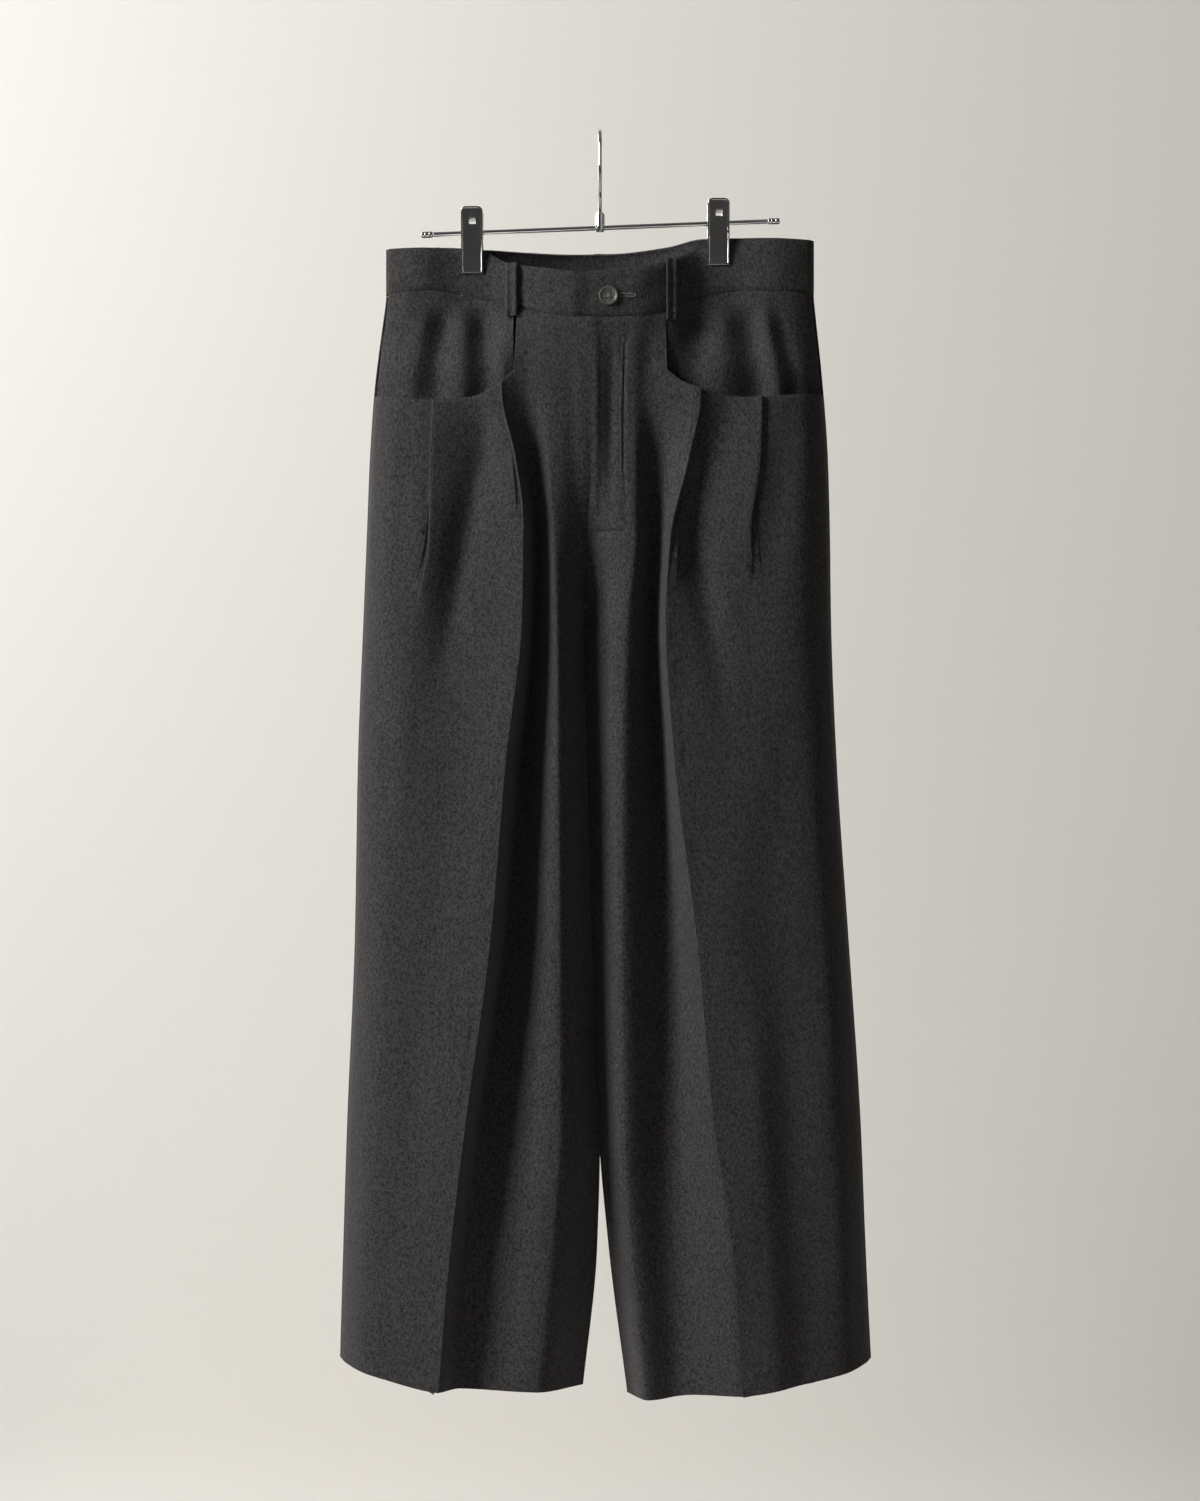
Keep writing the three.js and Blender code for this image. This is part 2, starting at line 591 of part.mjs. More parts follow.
// One leaf of a clip: an arched plate with side flanges, on the plane of x and z
function clipLeaf() {
  const half = CLIP_WIDTH / 2;
  const outline = new THREE.Shape();
  outline.moveTo(-half, -CLIP_HEIGHT);
  outline.lineTo(half, -CLIP_HEIGHT);
  outline.lineTo(half, -4);
  outline.quadraticCurveTo(half, 0, half - 5, 0.6);
  outline.lineTo(-half + 5, 0.6);
  outline.quadraticCurveTo(-half, 0, -half, -4);
  outline.closePath();
  const hole = new THREE.Path();
  hole.moveTo(-2.9, -16);
  hole.lineTo(-2.9, -10.5);
  hole.lineTo(2.9, -10.5);
  hole.lineTo(2.9, -16);
  hole.closePath();
  outline.holes.push(hole);
  const plate = new THREE.ExtrudeGeometry(outline, { depth: CLIP_SHEET, bevelEnabled: false, curveSegments: 4 });
  let solid = toSolid(plate);
  for (const edge of [-1, 1]) {
    const flange = new THREE.BoxGeometry(CLIP_SHEET, 28, 4.6);
    flange.translate(edge * (half - CLIP_SHEET / 2), -20.5, -1.9);
    solid = solid.add(toSolid(flange));
  }
  const geometry = fromSolid(solid);
  geometry.rotateX(Math.PI / 2);
  return geometry;
}

const wool = new THREE.MeshStandardMaterial({ color: 0x2b2a2b, roughness: 0.95, metalness: 0 });
const chrome = new THREE.MeshStandardMaterial({ color: 0xc8cacc, roughness: 0.12, metalness: 1 });
const horn = new THREE.MeshStandardMaterial({ color: 0x555750, roughness: 0.35, metalness: 0 });

const group = new THREE.Group();

function add(name, geometry, material) {
  const mesh = new THREE.Mesh(geometry, material);
  mesh.name = name;
  group.add(mesh);
  return mesh;
}

for (const side of ['right', 'left']) {
  const front = frontGrid(side);
  add(`front_${side}`, clothSolid(front.grid, AHEAD, front), wool);
  const back = backGrid(side);
  add(`back_${side}`, clothSolid(back.grid, BACK, back), wool);
  const pocket = pocketGrid(side);
  add(`pocket_${side}`, clothSolid(pocket.grid, AHEAD, pocket), wool);
}
add('fly_shield', clothSolid(flyShieldGrid(), AHEAD), wool);

const underlapY = (x) => bandFrontY(x) + (BAND_WALL + 0.4) * ramp(FLY_X - 18, FLY_X - 1, x);
const rightStations = [-193, -192, ...bandStations(-189, 34, BAND_STEP)];
const leftStations = [...bandStations(FLY_X, 189, BAND_STEP), 192, 193];
const backStations = [-193, -192, ...bandStations(-189, 189, 10.5), 192, 193];
const ACROSS_BACK = ACROSS.clone().negate();
add('waistband_right', clothSolid(bandGrid(rightStations, underlapY, frontTopZ, seamZ), AHEAD,
  bandWall(rightStations, ACROSS, BACK)), wool);
add('waistband_left', clothSolid(bandGrid(leftStations, bandFrontY, frontTopZ, seamZ), AHEAD,
  bandWall(leftStations, BACK, ACROSS_BACK)), wool);
const backBottomZ = (x) => backTopZ(x) - BACK_BAND_HEIGHT;
add('waistband_back', clothSolid(bandGrid(backStations, bandBackY, backTopZ, backBottomZ), BACK,
  bandWall(backStations, ACROSS, ACROSS_BACK)), wool);

const LOOPS = [
  { name: 'loop_front_right', x: -79.5, back: false },
  { name: 'loop_front_left', x: 64.5, back: false },
  { name: 'loop_side_right', x: -150, back: true },
  { name: 'loop_side_left', x: 148, back: true },
  { name: 'loop_back', x: 0, back: true },
];
const loopFootZ = (x) => seamZ(x) - LOOP_FOOT;
const loopFrontY = (at, z) => {
  const leg = FRONT[at < 0 ? 'right' : 'left'];
  const band = bandFrontY(at);
  return z < seamZ(at) ? Math.min(band, leg.base(at, z), leg.depth(at, z)) : band;
};
for (const { name, x, back } of LOOPS) {
  const grid = back
    ? loopGrid(x, 1, bandBackY, backTopZ, backBottomZ)
    : loopGrid(x, -1, loopFrontY, frontTopZ, loopFootZ);
  const inward = () => (back ? AHEAD : BACK);
  add(name, clothSolid(grid, back ? BACK : AHEAD, { inward }), wool);
}

const button = add('button', buttonGeometry(), horn);
button.rotation.x = Math.PI;
button.position.set(BUTTON_X, bandFrontY(BUTTON_X) - BUTTON_BACK - SEAM_GAP, BUTTON_Z);

add('hanger_hook', facingOut(mergeVertices(hookGeometry().deleteAttribute('normal').deleteAttribute('uv'))), chrome);
const barLength = BAR_LEFT.distanceTo(BAR_RIGHT);
const barAngle = Math.atan2(BAR_RIGHT.z - BAR_LEFT.z, BAR_RIGHT.x - BAR_LEFT.x);
const barZ = (x) => mix(BAR_LEFT.z, BAR_RIGHT.z, (x - BAR_LEFT.x) / (BAR_RIGHT.x - BAR_LEFT.x));
const bar = add('hanger_bar', new THREE.CylinderGeometry(BAR_RADIUS, BAR_RADIUS, barLength - 1, 12), chrome);
bar.rotation.y = -barAngle;
bar.geometry.rotateZ(Math.PI / 2);
bar.position.copy(BAR_LEFT).lerp(BAR_RIGHT, 0.5);

// A cap closes each end of the bar, and a ferrule carries the bar under the hook
const capProfile = [[0, 0], [2.7, 0], [2.9, 1], [2.9, 9], [2.2, 10.6], [0, 10.6]];
for (const [name, end, turn] of [['bar_end_right', BAR_LEFT, 1], ['bar_end_left', BAR_RIGHT, -1]]) {
  const profile = capProfile.map(([r, h]) => new THREE.Vector2(r, h));
  const cap = add(name, new THREE.LatheGeometry(profile, 12), chrome);
  cap.geometry.rotateZ((turn * Math.PI) / 2);
  cap.geometry.translate(turn * (0.5 - SEAM_GAP), 0, 0);
  cap.rotation.y = -barAngle;
  cap.position.copy(end);
}
const ferruleTop = barZ(0) + 12.4;
const ferruleBlock = new THREE.BoxGeometry(8.6, 8.6, 15.6);
ferruleBlock.translate(0, 0, ferruleTop - 7.8);
const barHole = new THREE.CylinderGeometry(BAR_RADIUS + SEAM_GAP, BAR_RADIUS + SEAM_GAP, 30, 12);
barHole.rotateZ(Math.PI / 2);
barHole.rotateY(-barAngle);
barHole.translate(0, 0, barZ(0));
const wireHole = new THREE.CylinderGeometry(WIRE_RADIUS + SEAM_GAP, WIRE_RADIUS + SEAM_GAP, 12, 12);
wireHole.rotateX(Math.PI / 2);
wireHole.translate(0, 0, ferruleTop);
const ferrule = toSolid(ferruleBlock).subtract(toSolid(barHole)).subtract(toSolid(wireHole));
add('hanger_ferrule', fromSolid(ferrule), chrome);

// Each clip: a sleeve that rides on the bar, and a front and a back leaf that pinch the band
for (const side of ['right', 'left']) {
  const x = CLIP_X[side];
  const top = side === 'right' ? -68 : -60.6;
  const z = barZ(x);
  const sleeve = [[BAR_RADIUS + SEAM_GAP, -8], [4.2, -8], [4.2, 8], [BAR_RADIUS + SEAM_GAP, 8],
    [BAR_RADIUS + SEAM_GAP, -8]].map(([r, h]) => new THREE.Vector2(r, h));
  const roll = add(`clip_${side}_spring`, new THREE.LatheGeometry(sleeve, 16), chrome);
  roll.geometry.rotateZ(Math.PI / 2);
  roll.rotation.y = -barAngle;
  roll.position.set(x, 0, z);
  const tilt = Math.atan2(CLIP_SPREAD, CLIP_HEIGHT);
  for (const [name, facing] of [['front', -1], ['back', 1]]) {
    const leaf = add(`clip_${side}_${name}`, clipLeaf(), chrome);
    const holder = new THREE.Group();
    leaf.geometry.translate(0, CLIP_SHEET, CLIP_HEIGHT);
    if (facing === 1) leaf.geometry.rotateZ(Math.PI);
    leaf.geometry.rotateX(-facing * tilt);
    holder.position.set(x, facing * (BAND_FACE + SEAM_GAP + CLIP_SHEET), top - CLIP_HEIGHT);
    holder.add(leaf);
    group.add(holder);
  }
}

export default group;
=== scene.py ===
import math

import bmesh
import bpy
import numpy as np
from mathutils import Matrix, Vector


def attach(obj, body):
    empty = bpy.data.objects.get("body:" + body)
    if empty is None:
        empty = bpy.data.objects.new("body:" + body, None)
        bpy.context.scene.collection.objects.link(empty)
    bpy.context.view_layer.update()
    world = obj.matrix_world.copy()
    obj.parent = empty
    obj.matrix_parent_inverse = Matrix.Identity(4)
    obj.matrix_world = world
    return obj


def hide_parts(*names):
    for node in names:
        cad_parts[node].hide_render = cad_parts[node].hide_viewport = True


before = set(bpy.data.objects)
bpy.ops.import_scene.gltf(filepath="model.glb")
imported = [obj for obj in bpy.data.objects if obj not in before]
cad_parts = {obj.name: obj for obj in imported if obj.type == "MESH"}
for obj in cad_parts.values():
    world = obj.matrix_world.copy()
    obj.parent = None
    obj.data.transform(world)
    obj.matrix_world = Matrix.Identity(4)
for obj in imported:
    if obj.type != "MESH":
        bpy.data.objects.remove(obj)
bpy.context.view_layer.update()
bpy.ops.object.select_all(action="DESELECT")

# The hanging place: a strip of pale wall a little way behind the trousers, a pale floor below the
# frame, a large soft window light from the viewer's left, a weaker one that reaches the back and
# a dim fill from the right.
CAMERA_DISTANCE = 3.2
FRAME_HEIGHT = 1.351
CAMERA_Z = -0.5567
SENSOR = 36.0
WALL_Y = 1.1
FLOOR_FRONT = -3.5
FLOOR_Z = -1.62
WALL_TOP = 2.4
COVE = 0.25
COVE_STEPS = 12
WALL_HALF = 0.76
DAYLIGHT = (1.0, 0.985, 0.965)
LAMPLIGHT = (1.0, 0.92, 0.8)
TRUE_BLACK = 0.05
ROOM_LIGHT = 0.2


def add_object(name, data):
    made = bpy.data.objects.new(name, data)
    bpy.context.collection.objects.link(made)
    return made


def emitter(name, place, aim, size, power, colour):
    light = bpy.data.lights.new(name, "AREA")
    light.shape = "RECTANGLE"
    light.size, light.size_y = size
    light.energy = power
    light.color = colour
    lamp = add_object(name, light)
    lamp.location = place
    lamp.rotation_euler = (Vector(aim) - Vector(place)).to_track_quat("-Z", "Y").to_euler()


def add_camera():
    view = bpy.data.cameras.new("camera")
    view.sensor_width = SENSOR
    view.lens = SENSOR * CAMERA_DISTANCE / FRAME_HEIGHT
    camera = add_object("camera", view)
    camera.location = (0, -CAMERA_DISTANCE, CAMERA_Z)
    camera.rotation_euler = (math.pi / 2, 0, 0)
    bpy.context.scene.camera = camera


def plain_material(name, colour, roughness, metallic=0.0):
    material = bpy.data.materials.new(name)
    material.use_nodes = True
    shader = material.node_tree.nodes["Principled BSDF"]
    shader.inputs["Base Color"].default_value = (*colour, 1)
    shader.inputs["Roughness"].default_value = roughness
    shader.inputs["Metallic"].default_value = metallic
    return material


def add_stage():
    """Floor and wall as one strip, with a rounded corner between them."""
    profile = [(FLOOR_FRONT, FLOOR_Z)]
    for i in range(COVE_STEPS + 1):
        angle = math.pi / 2 * i / COVE_STEPS
        profile.append((WALL_Y - COVE + COVE * math.sin(angle), FLOOR_Z + COVE - COVE * math.cos(angle)))
    profile.append((WALL_Y, WALL_TOP))
    verts = [(x, y, z) for x in (-WALL_HALF, WALL_HALF) for y, z in profile]
    count = len(profile)
    faces = [(i, i + 1, count + i + 1, count + i) for i in range(count - 1)]
    mesh = bpy.data.meshes.new("backdrop")
    mesh.from_pydata(verts, [], faces)
    for face in mesh.polygons:
        face.use_smooth = True
    mesh.materials.append(plain_material("painted wall", (0.79, 0.775, 0.74), 0.9))
    add_object("backdrop", mesh)


def add_room():
    """Dim light from all round, least from the dark room that faces the trousers."""
    world = bpy.data.worlds.new("room")
    world.use_nodes = True
    nodes, links = world.node_tree.nodes, world.node_tree.links
    background = nodes["Background"]
    background.inputs["Color"].default_value = (1.0, 0.965, 0.915, 1)
    around = nodes.new("ShaderNodeTexCoord")
    parts = nodes.new("ShaderNodeSeparateXYZ")
    facing = nodes.new("ShaderNodeMapRange")
    facing.inputs["From Min"].default_value = -0.9
    facing.inputs["From Max"].default_value = 0.1
    facing.inputs["To Min"].default_value = TRUE_BLACK
    facing.inputs["To Max"].default_value = ROOM_LIGHT
    links.new(around.outputs["Generated"], parts.inputs["Vector"])
    links.new(parts.outputs["Y"], facing.inputs["Value"])
    links.new(facing.outputs["Result"], background.inputs["Strength"])
    bpy.context.scene.world = world


add_camera()
add_stage()
emitter("window", (-2.75, -1.5, 0.95), (0.1, 0.1, -0.1), (1.3, 1.8), 180, DAYLIGHT)
emitter("back window", (-2.4, 2.6, 0.7), (0, 0, -0.5), (1.4, 1.8), 45, DAYLIGHT)
emitter("fill", (2.2, -3.4, 0.6), (0, 0, -0.5), (2.4, 2.4), 7, LAMPLIGHT)
add_room()
bpy.context.scene.view_settings.view_transform = "Standard"

# Front leg panels: heavy brushed wool, each cut in one piece from the waist seam to the hem, with
# the pocket mouth scooped out of it, two pleats that open from the mouth and a pressed crease.
# Lengths are in millimetres from here on, save the flat sizes of sheets, which are in metres.
MM = 0.001
CLOTH = 1.6
TURN_UP_WALL = 3.2
TURN_UP_HEIGHT = 24
SEAM_GAP = 0.3
POCKET_CORNER_Z = -216
CROTCH_Z = -430
CROTCH_REACH = 18
LEG_OVERLAP = 1.5
SEAM_CLOSED = 0.15
FLY_X = -8
ROW_STEP = 3.4

HEIGHTS = [-150, -237, -295, -367, -439, -565, -727, -889, -1006, -1135]
FRONT_FOLDS = {
    "right": {
        "side": ([-193, -204, -208, -211, -214, -219, -222, -229, -233, -237],
                 [8, 10, 12, 14, 15, 16, 18, 22, 26, 30]),
        "turn": ([-189, -199, -203, -206, -209, -214, -217, -223, -227, -231],
                 [-1, -6, -6, -6, -6, -6, -4, 0, 4, 9]),
        "swell": ([-168, -178, -181, -184, -186, -190, -194, -201, -206, -211],
                  [-8, -23, -27, -29, -31, -31, -31, -28, -26, -21]),
        "outer pleat": ([-150, -150, -152, -153, -164, -170, -175, -182, -187, -191],
                       [-8, -28, -32, -35, -35, -36, -36, -35, -33, -29]),
        "trough": ([-117, -117, -107, -120, -131, -138, -148, -159, -168, -176],
                   [-8, -28, -26, -27, -29, -36, -40, -40, -39, -34]),
        "crease": ([-89, -89, -77, -68, -69, -83, -97, -119, -133, -144],
                   [-16, -34, -38, -42, -45, -49, -52, -52, -50, -45]),
        "valley": ([-60, -66, -61, -56, -58, -70, -84, -105, -118, -125],
                   [-22, -26, -14, -4, 2, 4, 2, -6, -14, -18]),
        "inner": ([-40, -46, -45, -41, -39, -38, -37, -37, -45, -58],
                  [-25, -29, -31, -33, -36, -39, -40, -40, -37, -31]),
        "centre": ([-8.2, -8.2, -8.2, -12, -13.7, -11, -6.4, -1.4, -4.2, -17.5],
                   [-29, -29, -26, -12, 13, 15.5, 15.5, 15.5, 16, 16]),
    },
    "left": {
        "side": ([193, 202, 206, 208, 209, 214, 225, 236, 241, 247.5],
                 [8, 10, 12, 14, 15, 16, 18, 22, 26, 30]),
        "turn": ([189, 197, 201, 203, 204, 209, 220, 230, 235, 241],
                 [-1, -6, -6, -6, -6, -6, -4, 0, 4, 9]),
        "swell": ([170, 178, 181, 182, 183, 188, 199, 209, 214, 220],
                  [-8, -21, -25, -27, -29, -29, -29, -27, -25, -20]),
        "outer pleat": ([150, 146, 144, 135, 138, 148, 158, 167, 174, 181],
                       [-8, -28, -32, -34, -35, -36, -36, -34, -32, -29]),
        "trough": ([117, 117, 100, 86, 97, 110, 123, 139, 148, 157],
                   [-8, -28, -28, -30, -35, -40, -43, -44, -43, -39]),
        "crease": ([91, 91, 81, 64, 58, 66, 86, 101, 118, 127],
                   [-16, -34, -36, -40, -42, -45, -46, -46, -46, -42]),
        "valley": ([50, 47, 47, 50, 49, 54, 58, 60, 63, 70],
                   [-25, -25, -14, -6, -2, 0, -3, -8, -13, -17]),
        "inner": ([30, 30, 31, 31, 25, 21, 21, 23, 30, 43],
                  [-28, -29, -29, -30, -30, -31, -31, -30, -28, -26]),
        "centre": ([-7.8, -7.8, -7.8, -11.6, -13.3, -10, -5.4, -0.4, 9.5, 26],
                   [-29, -29, -26, -12, 7, 8, 8, 8, 12, 16]),
    },
}
PLEATS = {
    "right": {"outer pleat": (8, -395), "crease": (3.4, -340)},
    "left": {"outer pleat": (8, -372), "crease": (8, -375)},
}
PLEAT_STEP = 4.4
PLEAT_OPEN = -5
PLEAT_REACH = 20
EDGE_TURN = 1.8
DEEP_TURN = 0.4
TURN_POINTS = 5
TURN_SPREAD = 0.35
MOUTH_Z = -235
MOUTH_ROLL = 1.3
MOUTH_ROLL_REACH = 1.6
UPPER_ROWS = 16
TURN_UP_ROWS = 7
SEAM_TUCK = 1.6
FLY_PROUD = 1.5
MOUTH = {
    "right": [(-210, -237), (-150, -243.5), (-117, -241), (-97, -233), (-85, -224), (-77, POCKET_CORNER_Z)],
    "left": [(60, POCKET_CORNER_Z), (72, -226), (90, -234), (117, -240), (131, -241), (162, -239),
             (205, -236)],
}
SEAM = [(-193, -145), (-153, -143), (-126, -147), (-90, -155), (-72, -160), (-36, -167), (-8, -169),
        (36, -168), (56, -165), (81, -153), (104, -146), (130, -143), (193, -145)]
HEM = {
    "right": [(-237, -1107), (-201, -1116), (-144, -1127), (-63, -1129), (-17.5, -1130)],
    "left": [(26, -1137), (44, -1137), (84, -1133), (127, -1131), (184, -1122), (247.5, -1108)],
}
CORNER_X = {"right": -77, "left": 60}
CLIP_X = {"right": -115, "left": 106.5}
CLIP_FLAT = 12
BAND_FACE = 3.6
BAND_FRONT = [(-193, 8), (-189, 0), (-160, -9), (CLIP_X["right"] - CLIP_FLAT, -BAND_FACE),
              (CLIP_X["right"] + CLIP_FLAT, -BAND_FACE), (-78, -13), (-40, -26), (-8, -30), (30, -29),
              (66, -17), (CLIP_X["left"] - CLIP_FLAT, -BAND_FACE), (CLIP_X["left"] + CLIP_FLAT, -BAND_FACE),
              (156, -9), (189, 0), (193, 8)]

# Soft creases on the fronts: a path of x and z, a half width and a depth, less than 0 for a ridge
FRONT_CREASES = {
    "right": [
        ([(-99, -255), (-113, -325), (-123, -370), (-131, -425), (-138, -480)], 11, 5.0),
        ([(-172, -262), (-178, -340), (-178, -430)], 12, 1.6),
        ([(-194, -455), (-193, -540), (-191, -640)], 8, 1.8),
        ([(-193, -566), (-192.5, -612)], 2, 1.1),
        ([(-44, -172), (-31, -178), (-17, -188)], 3.5, 1.5),
        ([(-46, -181), (-30, -189), (-14, -203)], 4, 0.9),
        ([(-27, -200), (-24, -290), (-22, -350)], 7, 1.4),
        ([(-175, -700), (-168, -850), (-170, -1000)], 16, 1.4),
        ([(-60, -960), (-70, -1040), (-78, -1110)], 12, 1.6),
    ],
    "left": [
        ([(94, -277), (82, -331), (84, -385), (95, -421), (103, -465), (110, -530)], 11, 4.4),
        ([(11, -182), (10, -260), (9, -338)], 6, 3.6),
        ([(-3, -176), (-3.4, -260), (-5, -350)], 2.6, -1.5),
        ([(166, -262), (158, -340), (152, -410)], 12, 2.2),
        ([(187, -300), (189, -450), (194, -600)], 9, 1.8),
        ([(150, -700), (168, -860), (180, -1000)], 18, 1.4),
        ([(44, -176), (40, -214), (36, -260)], 8, 1.6),
        ([(25, -172), (22, -195), (20.8, -240), (20.8, -290), (22.4, -366)], 1.5, 2.0),
        ([(21.4, -172), (18.4, -195), (17.2, -240), (17.2, -290), (18.8, -366)], 1.3, 1.2),
        ([(23, -174), (20.6, -198), (19, -240), (19, -290), (20.4, -350)], 1.6, -0.7),
        ([(-18, -359), (4, -360), (29, -360)], 2.0, 3.0),
    ],
}


def cubic(knots_x, knots_y, at):
    """Monotone cubic through rows of knots, each a column for one value of at."""
    knots_x = np.asarray(knots_x, float)
    knots_y = np.asarray(knots_y, float)
    at = np.clip(at, knots_x[0], knots_x[-1])
    width = np.diff(knots_x, axis=0)
    slope = np.diff(knots_y, axis=0) / width
    tangent = np.zeros_like(knots_y)
    product = slope[:-1] * slope[1:]
    total = slope[:-1] + slope[1:]
    safe = np.where(product > 0, total, 1)
    tangent[1:-1] = np.where(product > 0, 2 * product / safe, 0)
    tangent[0] = slope[0]
    tangent[-1] = slope[-1]
    span = np.clip((knots_x[1:-1] < at).sum(axis=0), 0, len(knots_x) - 2)
    here = np.arange(knots_x.shape[1])
    w = width[span, here]
    t = (at - knots_x[span, here]) / w
    t2 = t * t
    t3 = t2 * t
    return (knots_y[span, here] * (2 * t3 - 3 * t2 + 1) + tangent[span, here] * w * (t3 - 2 * t2 + t)
            + knots_y[span + 1, here] * (3 * t2 - 2 * t3) + tangent[span + 1, here] * w * (t3 - t2))


def smooth(rows):
    rows = np.array(rows, float)

    def value(at):
        flat = np.atleast_1d(np.asarray(at, float)).ravel()
        knots_x = np.repeat(rows[:, :1], len(flat), axis=1)
        knots_y = np.repeat(rows[:, 1:2], len(flat), axis=1)
        out = cubic(knots_x, knots_y, flat).reshape(np.shape(at))
        return out if out.shape else float(out)
    return value


def by_height(values):
    return smooth(list(zip(HEIGHTS, values))[::-1])


def ramp(start, end, value):
    t = np.clip((value - start) / (end - start), 0, 1)
    return t * t * (3 - 2 * t)


def mix(a, b, t):
    return a + (b - a) * t


def crease_relief(creases, x, z):
    """How far soft creases push the cloth back at x and z."""
    x, z = np.broadcast_arrays(x, z)
    total = np.zeros(x.shape)
    for path, width, depth in creases:
        nearest = np.full(np.shape(x), 1e9)
        along = np.zeros(np.shape(x))
        for i in range(len(path) - 1):
            ax, az = path[i]
            bx, bz = path[i + 1]
            dx, dz = bx - ax, bz - az
            t = np.clip(((x - ax) * dx + (z - az) * dz) / (dx * dx + dz * dz), 0, 1)
            distance = np.hypot(x - ax - dx * t, z - az - dz * t)
            closer = distance < nearest
            nearest = np.where(closer, distance, nearest)
            along = np.where(closer, (i + t) / (len(path) - 1), along)
        fade = np.sin(np.pi * np.clip(along, 0.02, 0.98)) ** 0.6
        total += depth * fade * np.exp(-(nearest / width) ** 2)
    return total


def lean(x, z):
    """Slow unevenness of hanging wool, a few tenths of a millimetre."""
    return (0.45 * np.sin(x / 17.0 + z / 61.0 + 0.7) * np.sin(z / 83.0 + 1.3)
            + 0.28 * np.sin(x / 9.0 - z / 47.0 + 2.1) + 0.2 * np.sin(z / 21.0 + x / 33.0))


seam_z = smooth(SEAM)
band_front_y = smooth(BAND_FRONT)


class FrontLeg:
    """The section of a front panel at any height: fold lines, pleats and creases."""

    def __init__(self, side):
        self.side = side
        self.inwards = 1 if side == "right" else -1
        self.names = list(FRONT_FOLDS[side])
        self.x = {}
        self.y = {}
        for name, (across, depth) in FRONT_FOLDS[side].items():
            at_seam = band_front_y(across[0]) + 0.6
            self.x[name] = by_height(across)
            self.y[name] = by_height([at_seam, *depth[1:]])
        self.x["centre"] = self.past_middle(self.x["centre"])

    def past_middle(self, centre):
        """Below the crotch each inner edge reaches past the middle, and the left leg's lies in front."""
        def edge(z):
            overlap = LEG_OVERLAP * ramp(CROTCH_Z, CROTCH_Z - CROTCH_REACH, z)
            return centre(z) + self.inwards * (SEAM_CLOSED + overlap)
        return edge

    def base(self, at, z):
        """Depth of the cloth at x and z, through the fold lines alone."""
        at, z = np.broadcast_arrays(np.asarray(at, float), np.asarray(z, float))
        shape = at.shape
        at, z = at.ravel(), z.ravel()
        rows_x = np.array([self.inwards * self.x[name](z) for name in self.names])
        rows_y = np.array([self.y[name](z) for name in self.names])
        ridge = self.names.index("crease")
        value = self.inwards * at
        outer = cubic(rows_x[:ridge + 1], rows_y[:ridge + 1], value)
        inner = cubic(rows_x[ridge:], rows_y[ridge:], value)
        return np.where(value < rows_x[ridge], outer, inner).reshape(shape)

    def pleat(self, name, z):
        """Where a pleat's edge lies, how far it is undercut and how high it steps."""
        undercut, tip = PLEATS[self.side][name]
        opened = ramp(MOUTH_Z, tip, z)
        step = PLEAT_STEP * (1 - ramp(mix(MOUTH_Z, tip, 0.8), mix(MOUTH_Z, tip, 1.35), z))
        return self.x[name](z), mix(undercut, PLEAT_OPEN, opened), step

    def depth(self, at, z):
        """Depth of the cloth with the steps of its pleats."""
        total = self.base(at, z)
        for name in PLEATS[self.side]:
            edge, _, step = self.pleat(name, z)
            reach = self.inwards * (at - edge)
            total = total - np.sign(reach) * 0.5 * step * np.exp(-np.abs(reach) / PLEAT_REACH)
        return total

    def relief(self, at, z):
        """Creases and unevenness, faded out towards the seams."""
        edge = ramp(0, 14, self.inwards * (at - self.x["side"](z)))
        centre = ramp(0, 10, -self.inwards * (at - self.x["centre"](z)))
        below = ramp(-160, -200, z)
        return (crease_relief(FRONT_CREASES[self.side], at, z) + lean(at, z)) * edge * centre * below


LEG = {side: FrontLeg(side) for side in ("right", "left")}
COLUMN_COUNTS = [("side", 3), ("turn", 5), ("swell", 8), ("outer pleat", 9), ("trough", 9), ("crease", 7),
                 ("valley", 7), ("inner", 26), ("centre", 1)]


def pleat_turns():
    """Points of a pleat from its bottom layer, round the deep turn, to the edge and the top layer."""
    turns = []
    for i in range(TURN_POINTS):
        angle = math.pi * i / (TURN_POINTS - 1)
        turns.append(("deep", math.sin(angle) * DEEP_TURN, math.cos(angle)))
    for i in range(TURN_POINTS + 2):
        angle = math.pi * i / (TURN_POINTS + 1)
        turns.append(("edge", EDGE_TURN * (1 - math.sin(angle)), math.cos(angle)))
    return turns


PLEAT_TURNS = pleat_turns()


def front_columns(side):
    columns = []
    for i, (name, count) in enumerate(COLUMN_COUNTS):
        if name in PLEATS[side]:
            columns += [{"name": name, "turn": turn} for turn in range(len(PLEAT_TURNS))]
        else:
            columns.append({"name": name, "share": 0.0})
        for k in range(1, count):
            columns.append({"name": name, "next": COLUMN_COUNTS[i + 1][0], "share": k / count})
    return columns


